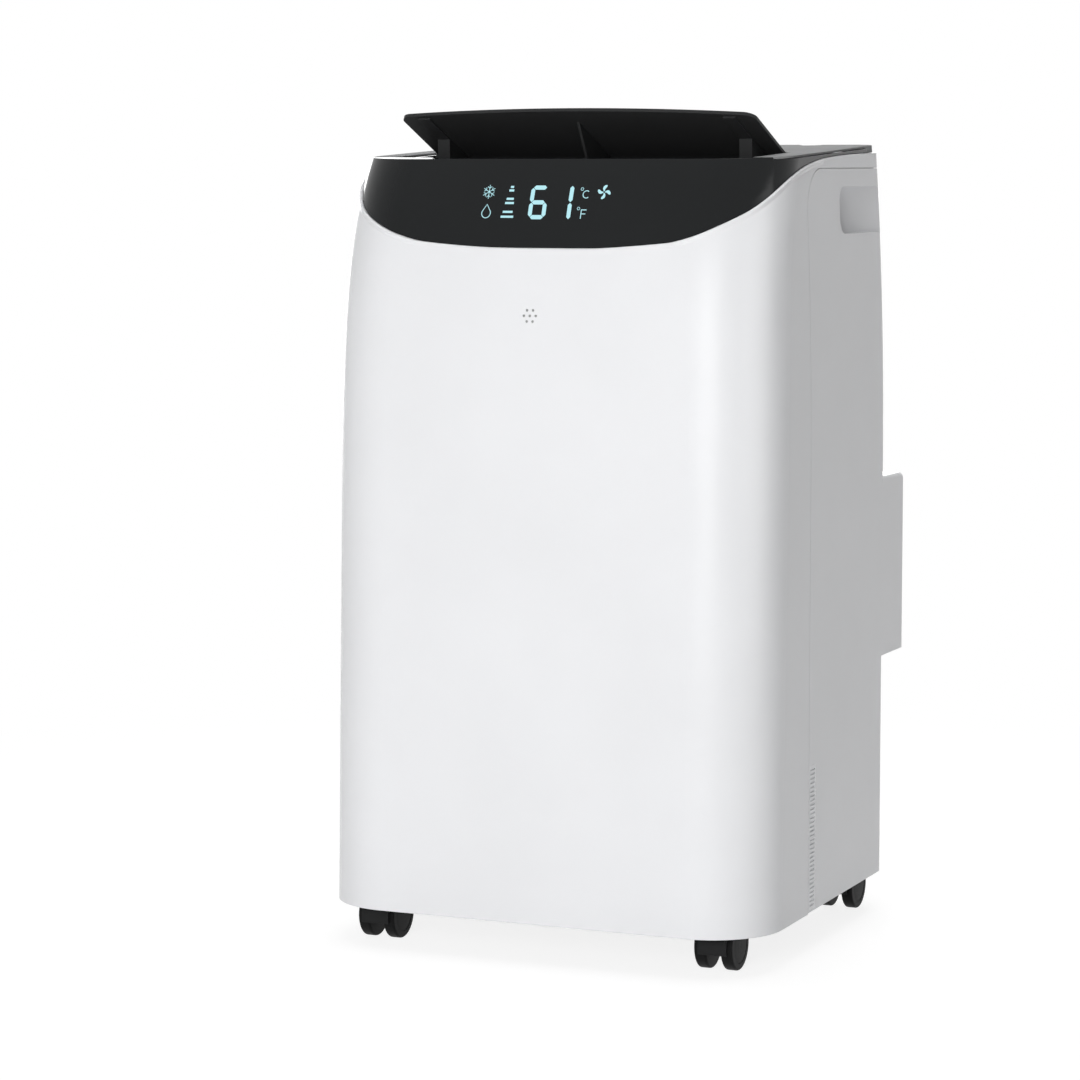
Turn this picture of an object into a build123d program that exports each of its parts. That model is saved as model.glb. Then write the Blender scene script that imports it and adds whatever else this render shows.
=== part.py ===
from build123d import *
from math import cos, radians, sin, tan
import os

os.makedirs("parts", exist_ok=True)

# Body: overall sizes in millimetres, the front faces -Y and the floor is z = 0
BODY_WIDTH = 430.0
BODY_DEPTH = 368.0
DUCT_BOX_DEPTH = 48.0      # how far the exhaust box stands behind the back
SKIRT_HEIGHT = 35.0        # floor to the lower edge of the housing
LIP_HEIGHT = 715.0         # floor to the front edge of the top
TOP_TILT = 2.6             # degrees that the top rises towards the back
FRONT_RADIUS = 68.0        # vertical front corners
REAR_RADIUS = 25.0         # vertical rear corners
WALL = 3.0
SEAM_GAP = 0.6             # joint line between two mouldings
FIT_GAP = 0.3              # play of one still piece beside another

# How the body leans: a slight draft low down, then the front rolls back
FRONT_SLOPE = 0.0265
ROLL_START = 440.0
FRONT_ROLL = 38.0
ROLL_POWER = 4
SIDE_TAPER = 7.0
REAR_TAPER = 5.5
TAPER_POWER = 2
FORM_MARGIN = 25.0         # cutters and forms run past the body by this
FORM_STEPS = 10            # level sections along the height of a form
GRID_STEPS = 24            # points across and along the curved line's surface

# Joint lines of the white mouldings
SEAM_SET_BACK = 138.0      # front plane to the upright seam on the sides
SEAM_RADIUS = 40.0
RIM_HEIGHT = 707.0         # lower edge of the rim that runs round the top
RIM_LAP = 8.0              # tongue of the rim behind the rear housing
RIM_TONGUE = 2.0           # thickness of that tongue
SWOOSH_LOW = 636.0         # lower edge of the dark fascia on the front
SWOOSH_SIDE_RISE = 53.0
SWOOSH_REAR_RISE = 34.0
SWOOSH_START = 50.0
SWOOSH_EASE = 75.0
SWOOSH_LEVEL = 200.0       # front plane to where the line runs level right across
FASCIA_INSET = 1.6
FASCIA_END = 318.0         # front plane to where the fascia arms stop
SKIRT_STEP = 1.0           # the rear housing hangs a little higher

# Lid on top
LID_INSET = 4.0
LID_START = 88.0           # front plane to where the lid begins
LID_THICK = 2.0
LID_HEIGHT = 6.5           # turned-down edge at the back

# Flap over the air outlet
FLAP_WIDTH = 345.0
FLAP_LENGTH = 106.0        # hinge axis to the middle of the front edge
FLAP_BOW = 12.0            # the front corners fall back by this
FLAP_CORNER = 12.0
FLAP_THICK = 3.0
FLAP_GAP = 1.5
FLAP_SIDE_GAP = 3.5
FLAP_OPEN = 25.0           # degrees open as it stands
HINGE_SET_BACK = 183.5     # front plane to the hinge axis
HINGE_DROP = 10.0          # top surface down to the hinge axis

# Sensor holes in the front
SENSOR_X = -6.0
SENSOR_HEIGHT = 577.0
SENSOR_PITCH = 5.7
SENSOR_HOLE = 1.2

# Hand holds, side slots, windows and exhaust box
HANDLE_SET_BACK = 227.0    # front plane to the deep end of the hand hold
HANDLE_LENGTH = 121.0
HANDLE_LOW = 647.0
HANDLE_HIGH = 690.0
HANDLE_DEPTH = 24.0
HANDLE_ROUND = 0.33        # rounding of the deep end as a share of its height
SLOT_COUNT = 32
SLOT_PITCH = 4.0
SLOT_LENGTH = 12.0
SLOT_HEIGHT = 1.6
SLOT_DEPTH = 1.2
SLOT_LOW = 42.0
SLOT_MARGIN = 2.0          # plain edge of the strip beyond the slots
SLOT_SET_BACK = 11.0       # seam to the middle of the slots
UPPER_WINDOW_WIDTH = 300.0
UPPER_WINDOW_HIGH = 682.0
LOWER_WINDOW_WIDTH = 330.0
LOWER_WINDOW_LOW = 84.0
WINDOW_FRAME = 3.0
WINDOW_DEPTH = 14.0        # depth of the frame behind the tapered back
DUCT_BOX_WIDTH = 255.0
DUCT_BOX_LOW = 244.0
DUCT_BOX_ROUND = 6.5
HOSE_BORE = 75.0           # radius inside the collar for a 150 mm hose
COLLAR_WALL = 4.0
COLLAR_FLANGE = 2.5
COLLAR_LENGTH = 30.0
COLLAR_ROOM = 1.0          # flange to the inside of the box
WINDOW_STEP = 20.0         # plain wall between the box and each window

# Inner frame, scrolls and fixings
DECK_HEIGHT = 332.0
DECK_THICK = 3.0
SCROLL_WALL = 2.5
UPPER_SCROLL_X = -20.0
UPPER_SCROLL_START = 96.0
UPPER_SCROLL_GROWTH = 14.0
LOWER_SCROLL_LEFT = 58.0
LOWER_SCROLL_WIDTH = 78.0
LOWER_SCROLL_SET_BACK = 190.0
LOWER_SCROLL_START = 74.0
LOWER_SCROLL_GROWTH = 9.0
GLAND_X = -150.0
GLAND_HEIGHT = 290.0
GLAND_RADIUS = 9.0
SCREW_X = 176.0
SCREW_HEIGHTS = (270.0, 455.0, 655.0)
SCREW_RADIUS = 2.0
SCREW_GAP = 0.2
DRAIN_X = -120.0
DRAIN_HEIGHT = 66.0
DRAIN_BORE = 5.5
DRAIN_WALL = 2.0
DRAIN_REACH = 12.0         # spigot behind the back

# Finger hollow in the lid
NOTCH_RADIUS = 60.0        # finger hollow near the rear edge
NOTCH_SINK = 1.2
NOTCH_FROM_SIDE = 78.0
NOTCH_FROM_REAR = 16.0

# Flap arms, rib and hinge fits
CHEEK_WIDTH = 8.0
PIN_RADIUS = 2.5
PRESS_GAP = 0.02           # a pin in the piece that holds it
RUN_GAP = 0.05             # a pin or shaft in the piece that it turns in
ARM_WIDTH = 12.0
ARM_SPACING = 298.0
ARM_REACH = 46.0
ARM_DEPTH = 30.0
STRIP_REACH = 92.0         # the arms go on as flat strips to here
STRIP_DEPTH = 1.5
RIB_WIDTH = 2.4
RIB_REACH = 81.0
RIB_DEPTH = 38.0
DUCT_WALL = 2.5

# Flap shaft and motor
SHAFT_REACH = 9.0          # how far the shaft goes into the motor
MOTOR_RADIUS = 13.0
MOTOR_LENGTH = 19.0
MOTOR_OFFSET = 8.0
MOTOR_EAR = 3.5
MOTOR_PLATE = 1.2
SHAFT_ROOM = 1.0           # bore beyond the end of a shaft

# Outlet duct and vanes
THROAT_DEPTH = 80.0
DUCT_LOW = 600.0
RAMP_LOW = 664.0
RAMP_HIGH = 694.0
VANE_COUNT = 6
VANE_PITCH = 52.0
VANE_HEIGHT = 640.0
VANE_CHORD = 44.0
VANE_THICK = 1.8
VANE_PIN = 2.0
VANE_END_GAP = 1.0

# Bar that ties the vanes
TIE_REACH = 20.0           # vane axis to the working height of the bar
TIE_HEIGHT = 9.0
TIE_SLOT_DEPTH = 6.0
TIE_SLOT_WIDTH = 4.6
TIE_WIDTH = 6.0
TIE_END = 10.0
TIE_RISE = 2.0             # bar above its working height

# Display
BOARD_WIDTH = 150.0
BOARD_HEIGHT = 44.0
BOARD_THICK = 1.6
BOARD_MIDDLE = 676.0
STAND_OFF = 6.0
STAND_RADIUS = 3.0
STAND_INSET = 6.0
MODULE_WIDTH = 118.0
MODULE_HEIGHT = 34.0
MODULE_DEPTH = 8.0
MODULE_ROUND = 3.0

# Base pan and caster places
PAN_LOW = 52.0
PAN_FLOOR = 3.0
PAN_WALL = 3.0
PAN_RIM = 26.0
STEM_RADIUS = 5.5
SOCKET_WALL = 4.5
SOCKET_DEPTH = 27.0
FRONT_CASTER_X = 165.0
REAR_CASTER_X = 179.0
FRONT_AXLE_SET_BACK = 49.5
REAR_AXLE_SET_BACK = 340.0
TRAIL = 8.0                # caster stem to axle

# Drain plug
PLUG_GRIP = 4.0
PLUG_EDGE = 1.0            # grip beyond the spigot all round
PLUG_DEPTH = 14.0

# Casters
WHEEL_RADIUS = 22.5
WHEEL_WIDTH = 11.0
WHEEL_ROUND = 2.0
WHEEL_DISH = 0.6
WEB_WIDTH = 13.0
WHEEL_GAP = 0.5            # side play and room under the hood
HOOD_WALL = 1.6
HOOD_EDGE = 4.5            # wheels beyond the hood on each side
HOOD_FRONT_DROP = 6.0      # hood edge below the axle at the front
HOOD_REAR_LIFT = 10.0      # hood edge above the axle at the rear
AXLE_RADIUS = 2.5
BOSS_RADIUS = 6.5
SEAT_RADIUS = 10.0
SEAT_GAP = 0.5

# Cord gland
GLAND_FLANGE = 3.0
GLAND_BORE = 4.0

# Housing screws
SCREW_HEAD = 4.0
SCREW_HEAD_HEIGHT = 2.2
SCREW_LENGTH = 14.0

# Intake grilles and filter
GRILLE_THICK = 8.0
GRILLE_BORDER = 9.0
GRILLE_GAP = 0.6
GRILLE_SET_IN = 1.0
BAR_PITCH = 11.0
BAR_HEIGHT = 3.0
MULLION = 5.0
GRILLE_COLUMNS = 3
FILTER_THICK = 4.0
FILTER_BORDER = 7.0
FILTER_RIB = 2.0
FILTER_COLUMNS = 6
FILTER_ROWS = 5
FILTER_SCREEN = 0.6

# Deck and evaporator
POST_SIZE = 14.0
POST_X = 200.0
POST_SET_BACKS = (100.0, 290.0)
PIPE_HOLE = 9.0
SUCTION_X = -180.0
EVAPORATOR_WIDTH = 330.0
EVAPORATOR_HEIGHT = 330.0
EVAPORATOR_DEPTH = 44.0
EVAPORATOR_GAP = 30.0      # coil to the window frame

# Fins, bends and condenser
FIN_PITCH = 12.0
FIN_THICK = 5.0
FIN_CORE = 0.3             # share of the depth that stays solid between the fins
BEND_COUNT = 5
BEND_RADIUS = 11.0
BEND_TUBE = 4.0
CONDENSER_HEIGHT = 178.0
CONDENSER_DEPTH = 40.0
CONDENSER_GAP = 5.0        # coil to the window frame
SOCKET_GAP = 3.0           # bends to the caster sockets

# Compressor and accumulator
COMPRESSOR_X = -100.0
COMPRESSOR_SET_BACK = 120.0
COMPRESSOR_RADIUS = 58.0
COMPRESSOR_HEIGHT = 215.0
COMPRESSOR_ROUND = 24.0
COMPRESSOR_SHELL = 7.0
FOOT_PLATE = 4.0
FOOT_SPREAD = 72.0
FOOT_CORNER = 88.0
FOOT_HEIGHT = 12.0
FOOT_RADIUS = 11.0
FOOT_BORE = 4.0
ACCUMULATOR_RADIUS = 17.0
ACCUMULATOR_HEIGHT = 120.0
ACCUMULATOR_GAP = 6.0

# Refrigerant lines
PIPE_RADIUS = 5.0
PIPE_BEND = 14.0
PIPE_HEIGHT = 312.0        # level run below the deck
SUCTION_START = 60.0       # above the deck
DISCHARGE_X = -75.0
DISCHARGE_END_X = -120.0

# Blowers
WHEEL_CLEARANCE = 10.0     # wheel to the start of the spiral
WHEEL_SIDE_GAP = 7.0       # wheel to the casing walls
BLADE_COUNT = 24
BLADE_LENGTH = 16.0
BLADE_THICK = 2.0
BLADE_ANGLE = 35.0
RIM_WIDTH = 3.0
BACK_PLATE = 2.5
HUB_RADIUS = 9.0
HUB_LENGTH = 20.0
SHAFT_RADIUS = 4.0
INLET_SHARE = 0.74
FAN_MOTOR_RADIUS = 36.0
FAN_MOTOR_LENGTH = 44.0
FAN_SHAFT_REACH = 30.0     # shaft inside the motor

# Electrical box
CONTROL_WIDTH = 120.0
CONTROL_DEPTH = 42.0
CONTROL_HEIGHT = 130.0
CONTROL_X = 88.0
CONTROL_SET_BACK = 60.0
CONTROL_ROUND = 4.0

# Places and heights that follow from the sizes
Y_FRONT = -(BODY_DEPTH + DUCT_BOX_DEPTH) / 2
Y_BACK = Y_FRONT + BODY_DEPTH
HALF_WIDTH = BODY_WIDTH / 2
FAR = BODY_WIDTH + BODY_DEPTH + LIP_HEIGHT
FORM_LOW = SKIRT_HEIGHT - FORM_MARGIN
FORM_HIGH = LIP_HEIGHT + FORM_MARGIN + tan(radians(TOP_TILT)) * BODY_DEPTH


def roll_share(z):
    """How far up the rolled part of the body a height is, from 0 to 1 at the lip."""
    return max(0.0, z - ROLL_START) / (LIP_HEIGHT - ROLL_START)


def front_lean(z):
    return FRONT_SLOPE * (z - SKIRT_HEIGHT) + FRONT_ROLL * roll_share(z) ** ROLL_POWER


def side_taper(z):
    return SIDE_TAPER * roll_share(z) ** TAPER_POWER


def rear_taper(z):
    return REAR_TAPER * roll_share(z) ** TAPER_POWER


Y_LIP = Y_FRONT + front_lean(LIP_HEIGHT)
Y_HINGE = Y_FRONT + HINGE_SET_BACK
TOP_NORMAL = (0, -sin(radians(TOP_TILT)), cos(radians(TOP_TILT)))
TOP_PLANE = Plane(origin=(0, Y_LIP, LIP_HEIGHT), x_dir=(1, 0, 0), z_dir=TOP_NORMAL)


def top_height(y):
    return LIP_HEIGHT + tan(radians(TOP_TILT)) * (y - Y_LIP)


def body_plan(level, inset):
    """Level section of the body at a height, drawn in all round by an inset."""
    half = HALF_WIDTH - side_taper(level) - inset
    front = Y_FRONT + front_lean(level) + inset
    back = Y_BACK - rear_taper(level) - inset
    with BuildSketch(Plane.XY.offset(level)) as section:
        with Locations((0, (front + back) / 2)):
            Rectangle(2 * half, back - front)
        fillet(section.vertices().group_by(Axis.Y)[0], FRONT_RADIUS - inset)
        fillet(section.vertices().group_by(Axis.Y)[-1], REAR_RADIUS - inset)
    return section.sketch


def body_form(inset):
    """The closed form of the body, drawn in by an inset and taller by as much at each end."""
    low = FORM_LOW - inset
    step = (FORM_HIGH - FORM_LOW + 2 * inset) / FORM_STEPS
    with BuildPart() as form:
        loft([body_plan(low + step * k, inset) for k in range(FORM_STEPS + 1)])
    return form.part


def swoosh_height(x, y):
    """Height of the curved line between the white mouldings and the dark fascia."""
    set_back = max(0.0, y - Y_FRONT - SWOOSH_START)
    across = (abs(x) / (HALF_WIDTH - SIDE_TAPER)) ** 4
    along = min(1.0, set_back / (SWOOSH_LEVEL - SWOOSH_START))
    level = along * along * (3 - 2 * along)
    climb = SWOOSH_SIDE_RISE * (across + (1 - across) * level)
    sweep_up = SWOOSH_REAR_RISE * set_back**2 / (set_back**2 + SWOOSH_EASE**2)
    return SWOOSH_LOW + climb + sweep_up


def above_swoosh(lift):
    """Everything above the curved line, raised by a lift."""
    across = HALF_WIDTH + FORM_MARGIN
    along = BODY_DEPTH + 2 * FORM_MARGIN
    columns = [across * (2 * k / GRID_STEPS - 1) for k in range(GRID_STEPS + 1)]
    rows = [Y_FRONT - FORM_MARGIN + along * k / GRID_STEPS for k in range(GRID_STEPS + 1)]
    grid = [[Vector(x, y, swoosh_height(x, y) + lift) for y in rows] for x in columns]
    surface = Face.make_surface_from_array_of_points(grid)
    return Solid.extrude(surface, (0, 0, LIP_HEIGHT - SWOOSH_LOW + 4 * FORM_MARGIN))


def under_top(drop):
    """Everything below the tilted top surface, lowered by a drop."""
    with BuildPart() as block:
        with BuildSketch(TOP_PLANE.offset(-drop)):
            Rectangle(FAR, FAR)
        extrude(amount=-FAR)
    return block.part


def rear_zone(gap):
    """The side view of the rear housing, carried across the whole width."""
    with BuildPart() as zone:
        with BuildSketch(Plane.YZ) as side_view:
            with Locations((Y_FRONT + SEAM_SET_BACK + gap, RIM_HEIGHT - gap)):
                Rectangle(FAR, FAR, align=(Align.MIN, Align.MAX))
            corner = side_view.vertices().group_by(Axis.Y)[-1].sort_by(Axis.X)[0]
            fillet(corner, SEAM_RADIUS)
        extrude(amount=FAR, both=True)
    return zone.part


def rim_band(inset, thick, low, high):
    """A level band inside the walls beside and behind the outlet."""
    with BuildPart() as band:
        add(body_form(inset))
        add(body_form(inset + thick), mode=Mode.SUBTRACT)
        with BuildSketch(Plane.XY.offset(low)):
            with Locations((0, Y_FRONT + SEAM_SET_BACK + SEAM_RADIUS)):
                Rectangle(FAR, FAR, align=(Align.CENTER, Align.MIN))
        extrude(amount=high - low, mode=Mode.INTERSECT)
    return band.part


OUTER_FORM = body_form(0)
INNER_FORM = body_form(WALL)

# Front panel: the white front with arms that run round the top
with BuildPart() as front_panel:
    add(OUTER_FORM)
    add(INNER_FORM, mode=Mode.SUBTRACT)
    add(above_swoosh(0), mode=Mode.SUBTRACT)
    add(rear_zone(0), mode=Mode.SUBTRACT)
    add(rim_band(WALL + FIT_GAP, RIM_TONGUE, RIM_HEIGHT - RIM_LAP, RIM_HEIGHT + RIM_TONGUE))
    add(rim_band(WALL - RIM_TONGUE / 2, RIM_TONGUE, RIM_HEIGHT, RIM_HEIGHT + RIM_TONGUE))
    with BuildSketch(Plane.XY.offset(SKIRT_HEIGHT)):
        Rectangle(FAR, FAR)
    extrude(amount=-FAR, mode=Mode.SUBTRACT)
    sensor_plane = Plane((SENSOR_X, Y_FRONT, SENSOR_HEIGHT), x_dir=(1, 0, 0), z_dir=(0, 1, 0))
    with BuildSketch(sensor_plane):
        Circle(SENSOR_HOLE)
        with PolarLocations(SENSOR_PITCH, 6):
            Circle(SENSOR_HOLE)
    extrude(amount=FRONT_RADIUS, mode=Mode.SUBTRACT)
front_panel.part.label = "front_panel"
export_step(front_panel.part, "parts/front_panel.step")

# Rear housing: sides and back in one moulding, with hand holds, windows and the exhaust box
DUCT_BOX_HIGH = DUCT_BOX_LOW + 2 * (HOSE_BORE + COLLAR_WALL + COLLAR_FLANGE + COLLAR_ROOM + WALL)
UPPER_WINDOW_LOW = DUCT_BOX_HIGH + WINDOW_STEP
LOWER_WINDOW_HIGH = DUCT_BOX_LOW - WINDOW_STEP

# Inner frame, scrolls and fixings, shared by the housing and the inner pieces
UPPER_SCROLL_Z = DECK_HEIGHT + DECK_THICK + SCROLL_WALL + UPPER_SCROLL_START + 3 * UPPER_SCROLL_GROWTH
UPPER_OUTLET_LEFT = UPPER_SCROLL_X + UPPER_SCROLL_START
UPPER_OUTLET_RIGHT = UPPER_OUTLET_LEFT + 4 * UPPER_SCROLL_GROWTH
LOWER_OUTLET_HIGH = DECK_HEIGHT - SCROLL_WALL
LOWER_OUTLET_LOW = LOWER_OUTLET_HIGH - 4 * LOWER_SCROLL_GROWTH
LOWER_SCROLL_Z = LOWER_OUTLET_LOW - LOWER_SCROLL_START
LOWER_SCROLL_Y = Y_FRONT + LOWER_SCROLL_SET_BACK
LOWER_OUTLET_MIDDLE = LOWER_SCROLL_LEFT + LOWER_SCROLL_WIDTH / 2
SCREW_PLACES = [(-SCREW_X, height) for height in SCREW_HEIGHTS]
SCREW_PLACES += [(SCREW_X, height) for height in SCREW_HEIGHTS if height > DUCT_BOX_HIGH]

VENT_WIDTH = SLOT_LENGTH + 2 * SLOT_MARGIN
VENT_LENGTH = SLOT_PITCH * SLOT_COUNT + 2 * SLOT_MARGIN
VENT_Y = Y_FRONT + SEAM_SET_BACK + SLOT_SET_BACK
VENT_HEIGHT = SLOT_LOW + SLOT_PITCH * (SLOT_COUNT - 1) / 2
DUCT_BOX_MIDDLE = HALF_WIDTH - DUCT_BOX_WIDTH / 2
PORT_HEIGHT = (DUCT_BOX_LOW + DUCT_BOX_HIGH) / 2
WINDOW_END = Y_BACK - REAR_TAPER - WINDOW_DEPTH
BACK_VIEW = Plane((0, WINDOW_END, 0), x_dir=(-1, 0, 0), z_dir=(0, 1, 0))


def handle_scoop(side, grow):
    """Space of a hand hold on one side, or with grow the block of plastic round it."""
    deep_end = Y_FRONT + HANDLE_SET_BACK - grow
    shallow_end = Y_FRONT + HANDLE_SET_BACK + HANDLE_LENGTH + grow
    low = HANDLE_LOW - grow
    high = HANDLE_HIGH + grow
    surface = HALF_WIDTH - side_taper((low + high) / 2)
    with BuildPart() as scoop:
        with BuildSketch(Plane.YZ) as mouth:
            with Locations(((deep_end + shallow_end) / 2, (low + high) / 2)):
                Rectangle(shallow_end - deep_end, high - low)
            fillet(mouth.vertices().group_by(Axis.X)[0], HANDLE_ROUND * (high - low))
        extrude(amount=FAR, both=True)
        with BuildSketch() as plan:
            with BuildLine():
                Polyline(
                    (side * (surface - HANDLE_DEPTH - grow), deep_end),
                    (side * (surface + FORM_MARGIN), deep_end),
                    (side * (surface + FORM_MARGIN), shallow_end),
                    (side * (surface - grow), shallow_end),
                    close=True,
                )
            make_face()
        extrude(amount=FAR, mode=Mode.INTERSECT)
    return scoop.part


def window_frame(width, low, high):
    """A frame round an opening in the back, cut to the outer form."""
    with BuildPart() as frame:
        with BuildSketch(BACK_VIEW):
            with Locations((0, (low + high) / 2)):
                Rectangle(width + 2 * WINDOW_FRAME, high - low + 2 * WINDOW_FRAME)
                Rectangle(width, high - low, mode=Mode.SUBTRACT)
        extrude(amount=FAR)
        add(OUTER_FORM, mode=Mode.INTERSECT)
    return frame.part


def exhaust_box():
    """The box on the back that the hose collar sits in, outside the inner form."""
    front = Y_BACK - REAR_RADIUS - WALL
    depth = Y_BACK + DUCT_BOX_DEPTH - front
    with BuildPart() as box:
        with BuildSketch(Plane.XY.offset(DUCT_BOX_LOW)):
            with Locations((DUCT_BOX_MIDDLE, front)):
                Rectangle(DUCT_BOX_WIDTH, depth, align=(Align.CENTER, Align.MIN))
        extrude(amount=DUCT_BOX_HIGH - DUCT_BOX_LOW)
        upper_edges = box.faces().sort_by(Axis.Z)[-1].edges()
        rear_edges = box.faces().sort_by(Axis.Y)[-1].edges().filter_by(Axis.Z)
        fillet(upper_edges + rear_edges, DUCT_BOX_ROUND)
        add(INNER_FORM, mode=Mode.SUBTRACT)
        with BuildSketch(Plane.XY.offset(DUCT_BOX_LOW + WALL)):
            with Locations((DUCT_BOX_MIDDLE, Y_BACK)):
                Rectangle(DUCT_BOX_WIDTH - 2 * WALL, DUCT_BOX_DEPTH - WALL, align=(Align.CENTER, Align.MIN))
        extrude(amount=DUCT_BOX_HIGH - DUCT_BOX_LOW - 2 * WALL, mode=Mode.SUBTRACT)
        with BuildSketch(BACK_VIEW):
            with Locations((-DUCT_BOX_MIDDLE, PORT_HEIGHT)):
                Circle(HOSE_BORE + COLLAR_WALL + FIT_GAP)
        extrude(amount=FAR, mode=Mode.SUBTRACT)
    return box.part


EXHAUST_BOX = exhaust_box()
UPPER_FRAME = window_frame(UPPER_WINDOW_WIDTH, UPPER_WINDOW_LOW, UPPER_WINDOW_HIGH)
LOWER_FRAME = window_frame(LOWER_WINDOW_WIDTH, LOWER_WINDOW_LOW, LOWER_WINDOW_HIGH)
HAND_BLOCKS = [handle_scoop(side, WALL) & OUTER_FORM for side in (-1, 1)]
HAND_SPACES = [handle_scoop(side, 0) for side in (-1, 1)]

with BuildPart() as rear_housing:
    add(OUTER_FORM)
    add(INNER_FORM, mode=Mode.SUBTRACT)
    add(rear_zone(SEAM_GAP), mode=Mode.INTERSECT)
    with BuildSketch(Plane.XY.offset(SKIRT_HEIGHT + SKIRT_STEP)):
        Rectangle(FAR, FAR)
    extrude(amount=-FAR, mode=Mode.SUBTRACT)
    with BuildSketch(BACK_VIEW):
        with Locations((0, (UPPER_WINDOW_LOW + UPPER_WINDOW_HIGH) / 2)):
            Rectangle(UPPER_WINDOW_WIDTH, UPPER_WINDOW_HIGH - UPPER_WINDOW_LOW)
        with Locations((0, (LOWER_WINDOW_LOW + LOWER_WINDOW_HIGH) / 2)):
            Rectangle(LOWER_WINDOW_WIDTH, LOWER_WINDOW_HIGH - LOWER_WINDOW_LOW)
    extrude(amount=FAR, mode=Mode.SUBTRACT)
    add(UPPER_FRAME)
    add(LOWER_FRAME)
    add(EXHAUST_BOX)
    add(HAND_BLOCKS)
    add(HAND_SPACES, mode=Mode.SUBTRACT)
    with BuildSketch(BACK_VIEW):
        with Locations([(-x, z) for x, z in SCREW_PLACES]):
            Circle(SCREW_RADIUS + SCREW_GAP)
        with Locations((-GLAND_X, GLAND_HEIGHT)):
            Circle(GLAND_RADIUS + FIT_GAP)
        with Locations((-DRAIN_X, DRAIN_HEIGHT)):
            Circle(DRAIN_BORE + DRAIN_WALL + FIT_GAP)
    extrude(amount=FAR, mode=Mode.SUBTRACT)
    with BuildSketch(BACK_VIEW):
        with Locations((-LOWER_OUTLET_MIDDLE, (LOWER_OUTLET_LOW + LOWER_OUTLET_HIGH) / 2)):
            Rectangle(LOWER_SCROLL_WIDTH, LOWER_OUTLET_HIGH - LOWER_OUTLET_LOW)
    extrude(amount=Y_BACK + FIT_GAP - WINDOW_END, mode=Mode.SUBTRACT)
    with BuildSketch(Plane.YZ):
        with Locations((VENT_Y, VENT_HEIGHT)):
            Rectangle(VENT_WIDTH, VENT_LENGTH)
    extrude(amount=FAR, both=True, mode=Mode.SUBTRACT)
rear_housing.part.label = "rear_housing"
export_step(rear_housing.part, "parts/rear_housing.step")

# Side vents: two strips of short shallow slots let into the housing beside the seam
with BuildPart() as side_vents:
    for side in (-1, 1):
        with BuildSketch(Plane.YZ.offset(side * HALF_WIDTH)):
            with Locations((VENT_Y, VENT_HEIGHT)):
                Rectangle(VENT_WIDTH, VENT_LENGTH)
        extrude(amount=-side * WALL)
        with BuildSketch(Plane.YZ.offset(side * HALF_WIDTH)):
            with Locations((VENT_Y, VENT_HEIGHT)):
                with GridLocations(SLOT_LENGTH, SLOT_PITCH, 1, SLOT_COUNT):
                    Rectangle(SLOT_LENGTH, SLOT_HEIGHT)
        extrude(amount=-side * SLOT_DEPTH, mode=Mode.SUBTRACT)
side_vents.part.label = "side_vents"
export_step(side_vents.part, "parts/side_vents.step")

# Dark fascia: the glossy band above the swoosh, with a flat rim in front of the outlet
FLAP_PLANE = Plane(origin=(0, Y_HINGE, top_height(Y_HINGE)), x_dir=(1, 0, 0), z_dir=TOP_NORMAL)
OUTLET_WIDTH = FLAP_WIDTH + 2 * FLAP_SIDE_GAP
OUTLET_REAR = HINGE_DROP + FLAP_GAP          # along the top, behind the hinge axis
OUTLET_FRONT = FLAP_LENGTH + FLAP_GAP        # along the top, in front of the hinge axis


def outlet_opening(grow):
    """The air outlet through the top, with a bowed front edge."""
    half = OUTLET_WIDTH / 2 + grow
    with BuildPart() as opening:
        with BuildSketch(FLAP_PLANE.offset(FORM_MARGIN)):
            with BuildLine():
                ThreePointArc(
                    (-half, FLAP_BOW - OUTLET_FRONT - grow),
                    (0, -OUTLET_FRONT - grow),
                    (half, FLAP_BOW - OUTLET_FRONT - grow),
                )
                Polyline(
                    (half, FLAP_BOW - OUTLET_FRONT - grow),
                    (half, OUTLET_REAR + grow),
                    (-half, OUTLET_REAR + grow),
                    (-half, FLAP_BOW - OUTLET_FRONT - grow),
                )
            make_face()
        extrude(amount=-2 * FORM_MARGIN)
    return opening.part


def lid_zone(drop, gap):
    """The slab that the lid takes up beside and behind the outlet, drawn back by a gap in front."""
    with BuildPart() as zone:
        with BuildSketch(TOP_PLANE.offset(-drop)):
            with Locations((0, Y_FRONT + LID_START - Y_LIP + gap)):
                Rectangle(FAR, FAR, align=(Align.CENTER, Align.MIN))
        extrude(amount=drop + FORM_MARGIN)
        with BuildSketch(FLAP_PLANE.offset(-FAR / 2)):
            with Locations((0, OUTLET_REAR)):
                Rectangle(OUTLET_WIDTH, FAR, align=(Align.CENTER, Align.MAX))
        extrude(amount=FAR, mode=Mode.SUBTRACT)
    return zone.part


FASCIA_SPACE = body_form(FASCIA_INSET + WALL)

with BuildPart() as control_fascia:
    add(body_form(FASCIA_INSET))
    add(above_swoosh(SEAM_GAP), mode=Mode.INTERSECT)
    add(under_top(0), mode=Mode.INTERSECT)
    add(FASCIA_SPACE & under_top(WALL), mode=Mode.SUBTRACT)
    add(FASCIA_SPACE & lid_zone(LID_HEIGHT + FIT_GAP, 0), mode=Mode.SUBTRACT)
    add(lid_zone(LID_THICK + FIT_GAP, 0), mode=Mode.SUBTRACT)
    add(outlet_opening(0), mode=Mode.SUBTRACT)
    with BuildSketch(Plane.XZ.offset(-Y_FRONT - FASCIA_END)):
        Rectangle(FAR, 2 * FAR)
    extrude(amount=-FAR, mode=Mode.SUBTRACT)
control_fascia.part.label = "control_fascia"
export_step(control_fascia.part, "parts/control_fascia.step")

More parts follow.
